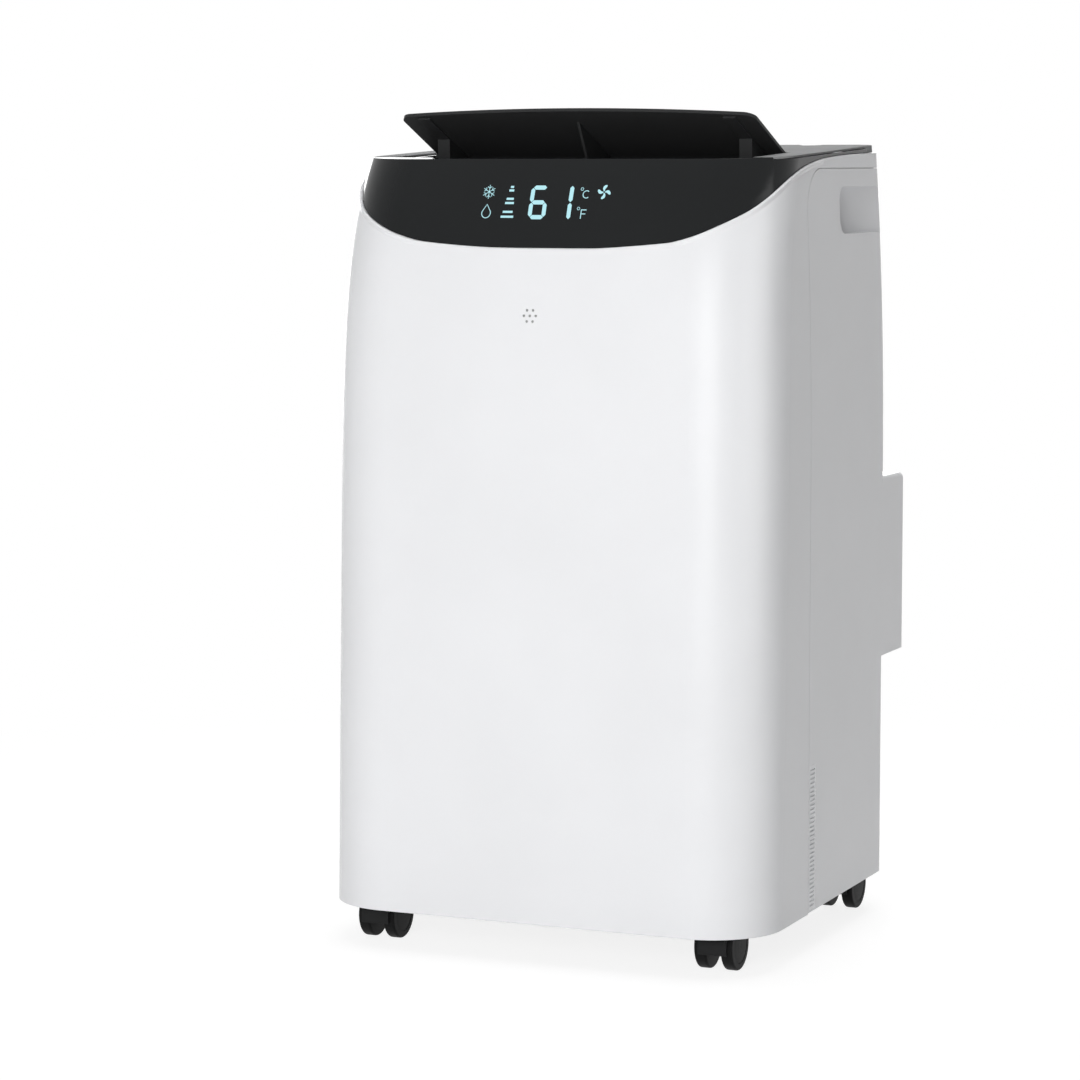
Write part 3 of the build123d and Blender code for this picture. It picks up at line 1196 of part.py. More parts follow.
with BuildPart() as accumulator:
    with BuildSketch(Plane.XY.offset(ACCUMULATOR_LOW)):
        with Locations((COMPRESSOR_X, ACCUMULATOR_Y)):
            Circle(ACCUMULATOR_RADIUS)
    extrude(amount=ACCUMULATOR_HEIGHT)
    fillet(accumulator.edges().filter_by(GeomType.CIRCLE), ACCUMULATOR_RADIUS / 2)
    with BuildSketch(Plane.XY.offset(ACCUMULATOR_LOW + ACCUMULATOR_HEIGHT / 2)):
        with Locations((COMPRESSOR_X, ACCUMULATOR_Y)):
            Rectangle(ACCUMULATOR_RADIUS, BRACKET_LENGTH, align=(Align.CENTER, Align.MIN))
    extrude(amount=ACCUMULATOR_RADIUS)
accumulator.part.label = "accumulator"
export_step(accumulator.part, "parts/accumulator.step")

# Refrigerant lines: copper tubes from coil to compressor
ACCUMULATOR_TOP = ACCUMULATOR_LOW + ACCUMULATOR_HEIGHT
COMPRESSOR_TOP = CAN_LOW + COMPRESSOR_HEIGHT
SUCTION_ROUTE = [
    (-EVAPORATOR_WIDTH / 2, EVAPORATOR_Y, DECK_HEIGHT + SUCTION_START),
    (SUCTION_X, EVAPORATOR_Y, DECK_HEIGHT + SUCTION_START),
    (SUCTION_X, EVAPORATOR_Y, PIPE_HEIGHT),
    (SUCTION_X, ACCUMULATOR_Y, PIPE_HEIGHT),
    (COMPRESSOR_X, ACCUMULATOR_Y, PIPE_HEIGHT),
    (COMPRESSOR_X, ACCUMULATOR_Y, ACCUMULATOR_TOP),
]
DISCHARGE_ROUTE = [
    (DISCHARGE_X, COMPRESSOR_Y, COMPRESSOR_TOP),
    (DISCHARGE_X, COMPRESSOR_Y, PIPE_HEIGHT),
    (DISCHARGE_X, CONDENSER_Y, PIPE_HEIGHT),
    (DISCHARGE_END_X, CONDENSER_Y, PIPE_HEIGHT),
    (DISCHARGE_END_X, CONDENSER_Y, PAN_TOP + CONDENSER_HEIGHT),
]


def copper_tube(route):
    """A round tube along straight runs with equal bends."""
    with BuildPart() as tube:
        with BuildLine() as path:
            FilletPolyline(*route, radius=PIPE_BEND)
        with BuildSketch(path.line ^ 0):
            Circle(PIPE_RADIUS)
        sweep()
    return tube.part


with BuildPart() as suction_line:
    add(copper_tube(SUCTION_ROUTE))
suction_line.part.label = "suction_line"
export_step(suction_line.part, "parts/suction_line.step")

with BuildPart() as discharge_line:
    add(copper_tube(DISCHARGE_ROUTE))
discharge_line.part.label = "discharge_line"
export_step(discharge_line.part, "parts/discharge_line.step")

# Blowers: spiral casings, bladed wheels with their shafts, and can motors


def scroll_face(plane, start, growth, outlet, grow):
    """Spiral of four quarter arcs that grow by a step each, with a straight outlet."""
    centres = [(0, 0), (0, -growth), (growth, -growth), (growth, 0)]
    with BuildSketch(plane) as face:
        with BuildLine():
            for quarter, centre in enumerate(centres):
                CenterArc(centre, start + quarter * growth + grow, 90 * quarter, 90)
            Line((start + 4 * growth + grow, 0), (start + grow, 0))
        make_face()
        with Locations((start - grow, 0)):
            Rectangle(4 * growth + 2 * grow, outlet, align=(Align.MIN, Align.MIN))
    return face.sketch


def fan_wheel(plane, radius, width, shaft):
    """A squirrel-cage wheel seen from its inlet, with its shaft behind the back plate."""
    with BuildPart() as cage:
        with BuildSketch(plane):
            Circle(radius)
        extrude(amount=BACK_PLATE)
        with BuildSketch(plane):
            with PolarLocations(radius - BLADE_LENGTH / 2, BLADE_COUNT):
                Rectangle(BLADE_LENGTH * cos(radians(BLADE_ANGLE)), BLADE_THICK, rotation=BLADE_ANGLE)
        extrude(amount=width)
        with BuildSketch(plane.offset(width - RIM_WIDTH)):
            Circle(radius)
            Circle(radius - BLADE_LENGTH, mode=Mode.SUBTRACT)
        extrude(amount=RIM_WIDTH)
        with BuildSketch(plane):
            Circle(HUB_RADIUS)
        extrude(amount=HUB_LENGTH)
        with BuildSketch(plane):
            Circle(SHAFT_RADIUS)
        extrude(amount=-shaft)
    return cage.part


def can_motor(plane):
    """A round motor body behind a casing wall, with a bore for the fan shaft."""
    with BuildPart() as motor:
        with BuildSketch(plane):
            Circle(FAN_MOTOR_RADIUS)
        extrude(amount=FAN_MOTOR_LENGTH)
        fillet(motor.edges().filter_by(GeomType.CIRCLE), RIM_WIDTH)
        with BuildSketch(plane):
            Circle(SHAFT_RADIUS + RUN_GAP)
        extrude(amount=FAN_SHAFT_REACH + SHAFT_ROOM, mode=Mode.SUBTRACT)
    return motor.part


UPPER_AXIS = Plane((UPPER_SCROLL_X, THROAT_REAR, UPPER_SCROLL_Z), x_dir=(1, 0, 0), z_dir=(0, -1, 0))
UPPER_FAN_RADIUS = UPPER_SCROLL_START - WHEEL_CLEARANCE
FAN_SHAFT = WHEEL_SIDE_GAP + SCROLL_WALL + FAN_SHAFT_REACH
UPPER_OUTLET = DUCT_LOW - DUCT_WALL - UPPER_SCROLL_Z

with BuildPart() as upper_scroll:
    outer = scroll_face(UPPER_AXIS.offset(-SCROLL_WALL), UPPER_SCROLL_START, UPPER_SCROLL_GROWTH,
                        UPPER_OUTLET, SCROLL_WALL)
    extrude(outer, amount=THROAT_DEPTH + 2 * SCROLL_WALL)
    inner = scroll_face(UPPER_AXIS, UPPER_SCROLL_START, UPPER_SCROLL_GROWTH, UPPER_OUTLET, 0)
    extrude(inner, amount=THROAT_DEPTH, mode=Mode.SUBTRACT)
    with BuildSketch(UPPER_AXIS):
        Circle(UPPER_FAN_RADIUS * INLET_SHARE)
    extrude(amount=-SCROLL_WALL, mode=Mode.SUBTRACT)
    with BuildSketch(UPPER_AXIS.offset(THROAT_DEPTH)):
        Circle(HUB_RADIUS)
    extrude(amount=SCROLL_WALL, mode=Mode.SUBTRACT)
upper_scroll.part.label = "upper_scroll"
export_step(upper_scroll.part, "parts/upper_scroll.step")

with BuildPart() as upper_fan:
    fan_back = (UPPER_SCROLL_X, DUCT_FRONT + WHEEL_SIDE_GAP, UPPER_SCROLL_Z)
    fan_plane = Plane(fan_back, x_dir=(1, 0, 0), z_dir=(0, 1, 0))
    add(fan_wheel(fan_plane, UPPER_FAN_RADIUS, THROAT_DEPTH - 2 * WHEEL_SIDE_GAP, FAN_SHAFT))
upper_fan.part.label = "upper_fan"
export_step(upper_fan.part, "parts/upper_fan.step")

with BuildPart() as upper_fan_motor:
    add(can_motor(UPPER_AXIS.offset(THROAT_DEPTH + SCROLL_WALL)))
upper_fan_motor.part.label = "upper_fan_motor"
export_step(upper_fan_motor.part, "parts/upper_fan_motor.step")

LOWER_SCROLL_RIGHT = LOWER_SCROLL_LEFT + LOWER_SCROLL_WIDTH
LOWER_AXIS = Plane((LOWER_SCROLL_RIGHT, LOWER_SCROLL_Y, LOWER_SCROLL_Z), x_dir=(0, 0, 1), z_dir=(-1, 0, 0))
LOWER_FAN_RADIUS = LOWER_SCROLL_START - WHEEL_CLEARANCE
LOWER_OUTLET = Y_BACK - WALL - FIT_GAP - LOWER_SCROLL_Y

with BuildPart() as lower_scroll:
    outer = scroll_face(LOWER_AXIS.offset(-SCROLL_WALL), LOWER_SCROLL_START, LOWER_SCROLL_GROWTH,
                        LOWER_OUTLET, SCROLL_WALL)
    extrude(outer, amount=LOWER_SCROLL_WIDTH + 2 * SCROLL_WALL)
    inner = scroll_face(LOWER_AXIS, LOWER_SCROLL_START, LOWER_SCROLL_GROWTH, LOWER_OUTLET, 0)
    extrude(inner, amount=LOWER_SCROLL_WIDTH, mode=Mode.SUBTRACT)
    with BuildSketch(LOWER_AXIS.offset(LOWER_SCROLL_WIDTH)):
        Circle(LOWER_FAN_RADIUS * INLET_SHARE)
    extrude(amount=SCROLL_WALL, mode=Mode.SUBTRACT)
    with BuildSketch(LOWER_AXIS):
        Circle(HUB_RADIUS)
    extrude(amount=-SCROLL_WALL, mode=Mode.SUBTRACT)
lower_scroll.part.label = "lower_scroll"
export_step(lower_scroll.part, "parts/lower_scroll.step")

with BuildPart() as lower_fan:
    fan_plane = LOWER_AXIS.offset(WHEEL_SIDE_GAP)
    add(fan_wheel(fan_plane, LOWER_FAN_RADIUS, LOWER_SCROLL_WIDTH - 2 * WHEEL_SIDE_GAP, FAN_SHAFT))
lower_fan.part.label = "lower_fan"
export_step(lower_fan.part, "parts/lower_fan.step")

with BuildPart() as lower_fan_motor:
    motor_back = Plane(LOWER_AXIS.origin + (SCROLL_WALL, 0, 0), x_dir=(0, 1, 0), z_dir=(1, 0, 0))
    add(can_motor(motor_back))
lower_fan_motor.part.label = "lower_fan_motor"
export_step(lower_fan_motor.part, "parts/lower_fan_motor.step")

# Electrical box on the base pan
with BuildPart() as control_box:
    with BuildSketch(Plane.XY.offset(PAN_TOP)):
        with Locations((CONTROL_X, Y_FRONT + CONTROL_SET_BACK)):
            RectangleRounded(CONTROL_WIDTH, CONTROL_DEPTH, CONTROL_ROUND)
    extrude(amount=CONTROL_HEIGHT)
control_box.part.label = "control_box"
export_step(control_box.part, "parts/control_box.step")
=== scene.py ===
import math

import bmesh
import bpy
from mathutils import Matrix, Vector
from mathutils.bvhtree import BVHTree


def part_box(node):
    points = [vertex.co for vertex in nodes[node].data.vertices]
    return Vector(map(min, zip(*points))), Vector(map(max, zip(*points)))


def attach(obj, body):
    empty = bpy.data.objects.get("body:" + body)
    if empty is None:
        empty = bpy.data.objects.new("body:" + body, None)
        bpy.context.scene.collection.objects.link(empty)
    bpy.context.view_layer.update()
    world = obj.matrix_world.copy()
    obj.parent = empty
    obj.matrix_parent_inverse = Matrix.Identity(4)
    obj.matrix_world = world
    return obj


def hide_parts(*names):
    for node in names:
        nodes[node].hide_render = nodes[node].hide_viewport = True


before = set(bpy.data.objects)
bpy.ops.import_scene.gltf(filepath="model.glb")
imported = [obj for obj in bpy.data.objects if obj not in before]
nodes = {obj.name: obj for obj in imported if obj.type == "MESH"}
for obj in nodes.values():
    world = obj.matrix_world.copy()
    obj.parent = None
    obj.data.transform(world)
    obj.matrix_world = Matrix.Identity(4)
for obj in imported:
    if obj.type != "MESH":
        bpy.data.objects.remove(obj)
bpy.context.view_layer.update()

scene = bpy.context.scene
MM = 0.001
X, Y, Z = Vector((1, 0, 0)), Vector((0, 1, 0)), Vector((0, 0, 1))
CORNERS = ("front_left", "front_right", "rear_left", "rear_right")


# Materials

DRIFT_BAND = (0.3, 0.7)     # part of the noise over which a colour drifts from its low to its high tone
THREAD_BAND = (0.45, 0.8)   # the same from the gaps of a weave to its threads
RUBBED = (0.99, 0.82)       # match of rounded and true normal where wear starts, and where it is full
THREAD_RISE = 0.3 * MM
GLOW_PATCHES = 240.0        # noise scale of a lit symbol's brightness
GLOW_LOW = 0.9              # share of the brightness in its dimmer patches


def new_material(name):
    material = bpy.data.materials.new(name)
    material.use_nodes = True
    return material, material.node_tree.nodes, material.node_tree.links


def two_tones(tree_nodes, low, high, band=(0.0, 1.0)):
    """A colour ramp between two tones."""
    ramp = tree_nodes.new("ShaderNodeValToRGB")
    for k, tone in enumerate((low, high)):
        ramp.color_ramp.elements[k].position = band[k]
        ramp.color_ramp.elements[k].color = (*tone, 1)
    return ramp


def moulding(name, low, high, rough, grain=2600, height=0.02 * MM, shine=0.5, metal=0.0, drift=7.0,
             edge=0.5 * MM, worn=None, spread=0.05):
    """Colour that drifts between two near tones, fine grain, and soft edges that may be worn.

    rough varies by spread with the grain, height is the grain's relief, and edge the radius of the edges.
    """
    material, tree_nodes, links = new_material(name)
    shader = tree_nodes["Principled BSDF"]
    shader.inputs["Metallic"].default_value = metal
    shader.inputs["Specular IOR Level"].default_value = shine
    place = tree_nodes.new("ShaderNodeTexCoord")

    tone = tree_nodes.new("ShaderNodeTexNoise")
    tone.inputs["Scale"].default_value = drift
    tone.inputs["Detail"].default_value = 3.0
    ramp = two_tones(tree_nodes, low, high, DRIFT_BAND)
    links.new(place.outputs["Object"], tone.inputs["Vector"])
    links.new(tone.outputs["Fac"], ramp.inputs["Fac"])
    colour = ramp.outputs["Color"]

    fine = tree_nodes.new("ShaderNodeTexNoise")
    fine.inputs["Scale"].default_value = grain
    fine.inputs["Detail"].default_value = 2.0
    soft = tree_nodes.new("ShaderNodeBevel")
    soft.samples = 4
    soft.inputs["Radius"].default_value = edge
    bump = tree_nodes.new("ShaderNodeBump")
    bump.inputs["Strength"].default_value = 1.0
    bump.inputs["Distance"].default_value = height
    matt = tree_nodes.new("ShaderNodeMapRange")
    matt.inputs["To Min"].default_value = rough - spread
    matt.inputs["To Max"].default_value = rough + spread
    links.new(place.outputs["Object"], fine.inputs["Vector"])
    links.new(fine.outputs["Fac"], bump.inputs["Height"])
    links.new(soft.outputs["Normal"], bump.inputs["Normal"])
    links.new(bump.outputs["Normal"], shader.inputs["Normal"])
    links.new(fine.outputs["Fac"], matt.inputs["Value"])
    links.new(matt.outputs["Result"], shader.inputs["Roughness"])

    if worn:
        shape = tree_nodes.new("ShaderNodeNewGeometry")
        match = tree_nodes.new("ShaderNodeVectorMath")
        match.operation = "DOT_PRODUCT"
        rubbed = tree_nodes.new("ShaderNodeMapRange")
        rubbed.inputs["From Min"].default_value, rubbed.inputs["From Max"].default_value = RUBBED
        blend = tree_nodes.new("ShaderNodeMix")
        blend.data_type = "RGBA"
        blend.inputs["B"].default_value = (*worn, 1)
        links.new(soft.outputs["Normal"], match.inputs[0])
        links.new(shape.outputs["Normal"], match.inputs[1])
        links.new(match.outputs["Value"], rubbed.inputs["Value"])
        links.new(rubbed.outputs["Result"], blend.inputs["Factor"])
        links.new(colour, blend.inputs["A"])
        colour = blend.outputs["Result"]
    links.new(colour, shader.inputs["Base Color"])
    return material


def woven(material, pitch, dark, light):
    """Threads in two directions in place of a moulding's colour and grain."""
    tree = material.node_tree
    shader = tree.nodes["Principled BSDF"]
    place = tree.nodes.new("ShaderNodeTexCoord")
    cross = tree.nodes.new("ShaderNodeMath")
    cross.operation = "MAXIMUM"
    for k, direction in enumerate(("X", "Z")):
        wave = tree.nodes.new("ShaderNodeTexWave")
        wave.bands_direction = direction
        wave.inputs["Scale"].default_value = math.pi / 10 / pitch
        tree.links.new(place.outputs["Object"], wave.inputs["Vector"])
        tree.links.new(wave.outputs["Fac"], cross.inputs[k])
    ramp = two_tones(tree.nodes, dark, light, THREAD_BAND)
    tree.links.new(cross.outputs["Value"], ramp.inputs["Fac"])
    tree.links.new(ramp.outputs["Color"], shader.inputs["Base Color"])
    bump = tree.nodes.new("ShaderNodeBump")
    bump.inputs["Distance"].default_value = THREAD_RISE
    tree.links.new(cross.outputs["Value"], bump.inputs["Height"])
    tree.links.new(bump.outputs["Normal"], shader.inputs["Normal"])
    return material


def glowing(name, colour, strength):
    """Lit display segment whose brightness varies a little."""
    material, tree_nodes, links = new_material(name)
    shader = tree_nodes["Principled BSDF"]
    shader.inputs["Base Color"].default_value = (0.02, 0.022, 0.025, 1)
    shader.inputs["Roughness"].default_value = 0.3
    shader.inputs["Emission Strength"].default_value = strength
    place = tree_nodes.new("ShaderNodeTexCoord")
    noise = tree_nodes.new("ShaderNodeTexNoise")
    noise.inputs["Scale"].default_value = GLOW_PATCHES
    ramp = two_tones(tree_nodes, [GLOW_LOW * c for c in colour], colour)
    links.new(place.outputs["Object"], noise.inputs["Vector"])
    links.new(noise.outputs["Fac"], ramp.inputs["Fac"])
    links.new(ramp.outputs["Color"], shader.inputs["Emission Color"])
    return material


def grey(value, tint=0.0):
    """A grey that leans to blue by tint."""
    return (value * (1 - tint), value, value * (1 + tint))


WHITE = moulding("white_plastic", (0.828, 0.833, 0.850), (0.857, 0.862, 0.880), 0.24, shine=0.32,
                 edge=0.7 * MM, spread=0.04)
VENT_WHITE = moulding("vent_white", (0.838, 0.843, 0.860), (0.862, 0.867, 0.885), 0.3)
GRILLE_WHITE = moulding("grille_white", grey(0.78, 0.01), grey(0.82, 0.01), 0.4)
LID = moulding("lid_grey", grey(0.35, 0.01), grey(0.38, 0.01), 0.8, 1800, 0.04 * MM, shine=0.02,
               edge=1.0 * MM)
FASCIA = moulding("fascia_gloss", (0.0055, 0.0066, 0.0073), (0.0068, 0.0080, 0.0087), 0.10, 900,
                  0.001 * MM, shine=0.2, edge=0.6 * MM, spread=0.02)
BLACK = moulding("black_plastic", grey(0.029, 0.02), grey(0.034, 0.02), 0.5, 2000, 0.03 * MM,
                 shine=0.10, worn=grey(0.050, 0.02))
DUCT = moulding("duct_black", grey(0.020, 0.02), grey(0.026, 0.02), 0.6, 2000, 0.03 * MM, shine=0.12)
VANE = moulding("vane_grey", grey(0.10, 0.02), grey(0.12, 0.02), 0.5, 2000, 0.03 * MM,
                shine=0.15, worn=grey(0.16, 0.02))
CASTER = moulding("caster_black", grey(0.011, 0.02), grey(0.014, 0.02), 0.42, 1800, 0.03 * MM,
                  shine=0.14, worn=grey(0.026, 0.02))
WHEEL = moulding("wheel_black", grey(0.006, 0.02), grey(0.008, 0.02), 0.5, 1500, 0.04 * MM,
                 shine=0.08, worn=grey(0.016, 0.02))
INNER = moulding("inner_plastic", grey(0.075), grey(0.09), 0.5, shine=0.3)
COLLAR = moulding("collar_plastic", grey(0.055), grey(0.07), 0.45, shine=0.3, worn=grey(0.10))
STEEL = moulding("turned_steel", grey(0.52), grey(0.60), 0.3, 3000, 0.01 * MM, metal=1.0, drift=60.0)
ZINC = moulding("zinc_plate", grey(0.42), grey(0.52), 0.38, 900, metal=1.0, drift=30.0)
ALUMINIUM = moulding("fin_aluminium", grey(0.60), grey(0.70), 0.38, 1400, metal=1.0, drift=24.0)
COPPER = moulding("copper_tube", (0.62, 0.28, 0.16), (0.75, 0.37, 0.23), 0.28, 1200, 0.01 * MM,
                  metal=1.0, drift=40.0)
ENAMEL = moulding("black_enamel", grey(0.014), grey(0.02), 0.25, 500, 0.04 * MM, worn=grey(0.05))
RUBBER = moulding("black_rubber", grey(0.02), grey(0.03), 0.62, 2400, 0.04 * MM, shine=0.25)
BOARD = moulding("circuit_board", (0.008, 0.075, 0.028), (0.012, 0.11, 0.04), 0.3, 1600, drift=160.0)
LENS = moulding("display_lens", grey(0.012), grey(0.016), 0.12, 900, 0.002 * MM, spread=0.02)
FILTER = woven(moulding("filter_screen", grey(0.14), grey(0.18), 0.7, 1300), 1.6 * MM,
               grey(0.05), grey(0.20))
GAUZE = woven(moulding("sensor_gauze", grey(0.36), grey(0.42), 0.7), 0.4 * MM, grey(0.30), grey(0.52))
GLOW = glowing("lit_segment", (0.47, 0.84, 0.91), 1.0)

FINISH = {
    WHITE: ["front_panel", "rear_housing"],
    VENT_WHITE: ["side_vents"],
    GRILLE_WHITE: ["upper_grille", "lower_grille"],
    LID: ["top_cover"],
    FASCIA: ["control_fascia"],
    BLACK: ["outlet_flap"],
    VANE: ["vane_tie_bar"] + [f"vane_{k}" for k in range(1, 7)],
    DUCT: ["outlet_duct"],
    COLLAR: ["exhaust_collar"],
    CASTER: [f"caster_{c}" for c in CORNERS],
    WHEEL: [f"wheel_{c}_{s}" for c in CORNERS for s in ("left", "right")],
    STEEL: ["flap_pin", "flap_shaft", "housing_screws"] + [f"axle_{c}" for c in CORNERS],
    ZINC: ["flap_motor", "upper_fan_motor", "lower_fan_motor", "control_box"],
    INNER: ["base_pan", "mid_deck", "upper_scroll", "lower_scroll", "upper_fan", "lower_fan"],
    BOARD: ["display_board"],
    LENS: ["display_module"],
    FILTER: ["upper_filter"],
    RUBBER: ["drain_plug", "cord_gland", "compressor_feet"],
    ALUMINIUM: ["evaporator_coil", "condenser_coil"],
    ENAMEL: ["compressor", "accumulator"],
    COPPER: ["suction_line", "discharge_line"],
}
for material, names in FINISH.items():
    for name in names:
        nodes[name].data.materials.clear()
        nodes[name].data.materials.append(material)


# Mesh tools

def mesh_object(name, mesh):
    """An object in the scene from mesh code."""
    data = bpy.data.meshes.new(name)
    mesh.to_mesh(data)
    mesh.free()
    thing = bpy.data.objects.new(name, data)
    scene.collection.objects.link(thing)
    return thing


def new_piece(name, mesh, material, body="chassis", smooth=None):
    """A piece that rides on a body; smooth is the angle up to which its faces blend."""
    bmesh.ops.recalc_face_normals(mesh, faces=mesh.faces)
    piece = mesh_object(name, mesh)
    piece.data.materials.append(material)
    if smooth:
        piece.data.shade_smooth()
        piece.data.set_sharp_from_angle(angle=math.radians(smooth))
    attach(piece, body)
    return piece


def loft(mesh, rings, closed=False):
    """Quads between equal rings of points, with end faces unless the last ring joins the first."""
    rows = [[mesh.verts.new(point) for point in ring] for ring in rings]
    pairs = list(zip(rows, rows[1:])) + ([(rows[-1], rows[0])] if closed else [])
    for before, after in pairs:
        for k in range(len(before)):
            m = (k + 1) % len(before)
            mesh.faces.new((before[k], before[m], after[m], after[k]))
    if not closed:
        mesh.faces.new(rows[0])
        mesh.faces.new(rows[-1])


def circle(centre, radius, across, up, steps):
    """Points round a centre, in the plane of two directions."""
    points = []
    for k in range(steps):
        angle = 2 * math.pi * k / steps
        points.append(centre + across * (radius * math.cos(angle)) + up * (radius * math.sin(angle)))
    return points


def turned(mesh, profile, centre, steps=32):
    """A solid of revolution about a level axis that runs front to back; profile is in millimetres."""
    loft(mesh, [circle(centre + Y * (reach * MM), radius * MM, X, Z, steps) for radius, reach in profile])


def slab(mesh, low, high):
    """A flat box between two corners."""
    ring = [(low[0], low[2]), (high[0], low[2]), (high[0], high[2]), (low[0], high[2])]
    loft(mesh, [[Vector((x, y, z)) for x, z in ring] for y in (low[1], high[1])])


def tree_of(name):
    data = nodes[name].data
    return BVHTree.FromPolygons([v.co.copy() for v in data.vertices],
                                [p.vertices[:] for p in data.polygons])


fascia_tree = tree_of("control_fascia")
panel_tree = tree_of("front_panel")
BEFORE = -0.5                # a place in front of the whole object, on Y
ROUND = 40                   # degrees up to which turned and swept faces blend


# Rounded lip along the upper edge of the white front panel

LIP_CENTRE = Vector((0, -0.05, 0))
LIP_REACH = 0.6
LIP_LOW, LIP_HIGH = 0.62, 0.73
LIP_SPREAD = 125             # degrees to each side of the front
LIP_STEPS = 400
LIP_HALVINGS = 7
LIP_NEAR, LIP_FAR = 0.4 * MM, 6 * MM
LIP_SMOOTHING = 6
LIP_PROFILE = [(0.1, -0.8), (0.1, 0.6), (0.35, 1.0), (0.8, 1.3), (1.3, 1.35), (2.0, 1.2),
               (3.4, 0.62), (4.6, 0.1), (5.0, -0.2), (5.0, -0.8)]


def towards(tree, angle, height):
    """Point and depth of the first hit of a level ray from outside, no further than the body's middle."""
    out = Vector((math.sin(angle), -math.cos(angle), 0))
    hit = tree.ray_cast(LIP_CENTRE + Z * height + out * LIP_REACH, -out, LIP_REACH)
    return hit[0], hit[3]


def dark_above(angle, height):
    """Whether the dark fascia, not the white panel, is outermost here."""
    panel = towards(panel_tree, angle, height)
    fascia = towards(fascia_tree, angle, height)
    return bool(fascia[0]) and (not panel[0] or fascia[1] < panel[1])


def panel_edge(angle):
    """Height where the dark fascia begins above the white panel, or None where there is no such edge."""
    low = LIP_LOW
    while not dark_above(angle, low + MM):
        low += MM
        if low > LIP_HIGH:
            return None
    high = low + MM
    for _ in range(LIP_HALVINGS):
        middle = (low + high) / 2
        if dark_above(angle, middle):
            high = middle
        else:
            low = middle
    return low


def averaged(points):
    """The points with their unevenness smoothed out and both ends kept."""
    for _ in range(LIP_SMOOTHING):
        inner = [(a + b * 2 + c) / 4 for a, b, c in zip(points, points[1:], points[2:])]
        points = [points[0]] + inner + [points[-1]]
    return points


def panel_lip():
    points, falls = [], []
    for k in range(LIP_STEPS + 1):
        angle = math.radians(LIP_SPREAD * (2 * k / LIP_STEPS - 1))
        height = panel_edge(angle)
        if height is None:
            continue
        upper = towards(panel_tree, angle, height - LIP_NEAR)[0]
        lower = towards(panel_tree, angle, height - LIP_FAR)[0]
        if upper and lower:
            points.append(upper)
            falls.append((lower - upper).normalized())
    points, falls = averaged(points), averaged(falls)
    rings = []
    for k, point in enumerate(points):
        along = points[min(k + 1, len(points) - 1)] - points[max(k - 1, 0)]
        outward = along.cross(falls[k]).normalized()
        if outward.dot(Vector((point.x, point.y, 0)) - LIP_CENTRE) < 0:
            outward = -outward
        down = outward.cross(along).normalized()
        if down.z > 0:
            down = -down
        rings.append([point + down * across * MM + outward * rise * MM for across, rise in LIP_PROFILE])
    mesh = bmesh.new()
    loft(mesh, rings)
    new_piece("panel_lip", mesh, WHITE, smooth=ROUND)


panel_lip()


# Gauze plugs in the sensor holes of the front

SENSOR_X, SENSOR_HEIGHT, SENSOR_PITCH = -6.0 * MM, 577.0 * MM, 5.7 * MM
SENSOR_BESIDE = 2.0 * MM     # from a hole's middle to the panel beside it
PLUG = ((0.05, 0.55), (0.8, 0.60), (1.19, 0.75), (1.19, 1.6), (0.05, 1.6))
PLUG_SIDES = 24


def sensor_plugs():
    mesh = bmesh.new()
    middle = Vector((SENSOR_X, 0, SENSOR_HEIGHT))
    for place in [middle] + circle(middle, SENSOR_PITCH, X, Z, 6):
        beside = Vector((place.x + SENSOR_BESIDE, BEFORE, place.z))
        face = panel_tree.ray_cast(beside, Y)[0]
        turned(mesh, PLUG, Vector((place.x, face.y, place.z)), PLUG_SIDES)
    new_piece("sensor_plugs", mesh, GAUZE, smooth=ROUND)


sensor_plugs()


# Screws in the back, with cross recesses

HEAD = ((0.1, 2.2), (1.6, 2.14), (2.7, 1.86), (3.5, 1.3), (3.95, 0.55), (4.0, 0.0), (2.0, 0.0),
        (2.0, -11.0), (0.5, -14.0), (0.1, -14.0))
HEAD_RISE = HEAD[0][1] * MM
HEAD_SIDES = 40
RECESS_LONG, RECESS_SHORT = 2.3 * MM, 0.55 * MM
RECESS_DEPTH = 1.3 * MM
RECESS_OVER = 1.0 * MM
SCREW_APART = 20 * MM        # vertices in the same square of this size belong to one screw


def cut_out(piece, tools):
    """Take the solids in mesh code away from a piece."""
    bmesh.ops.recalc_face_normals(tools, faces=tools.faces)
    cutter = mesh_object("cutter", tools)
    cut = piece.modifiers.new("recess", "BOOLEAN")
    cut.operation = "DIFFERENCE"
    cut.solver = "EXACT"
    cut.use_self = True
    cut.object = cutter
    depsgraph = bpy.context.evaluated_depsgraph_get()
    result = bpy.data.meshes.new_from_object(piece.evaluated_get(depsgraph))
    piece.modifiers.remove(cut)
    piece.data = result
    bpy.data.objects.remove(cutter)


def cross_screws():
    places = {}
    for vertex in nodes["housing_screws"].data.vertices:
        key = (round(vertex.co.x / SCREW_APART), round(vertex.co.z / SCREW_APART))
        places.setdefault(key, []).append(vertex.co)
    mesh, crosses = bmesh.new(), bmesh.new()
    for points in places.values():
        x = (min(p.x for p in points) + max(p.x for p in points)) / 2
        z = (min(p.z for p in points) + max(p.z for p in points)) / 2
        top = max(p.y for p in points)
        turned(mesh, HEAD, Vector((x, top - HEAD_RISE, z)), HEAD_SIDES)
        for wide, tall in ((RECESS_LONG, RECESS_SHORT), (RECESS_SHORT, RECESS_LONG)):
            slab(crosses, (x - wide, top - RECESS_DEPTH, z - tall), (x + wide, top + RECESS_OVER, z + tall))
    screw_piece = new_piece("cross_screws", mesh, STEEL, smooth=ROUND)
    cut_out(screw_piece, crosses)
    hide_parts("housing_screws")


cross_screws()


# Coils with thin fins and copper tubes

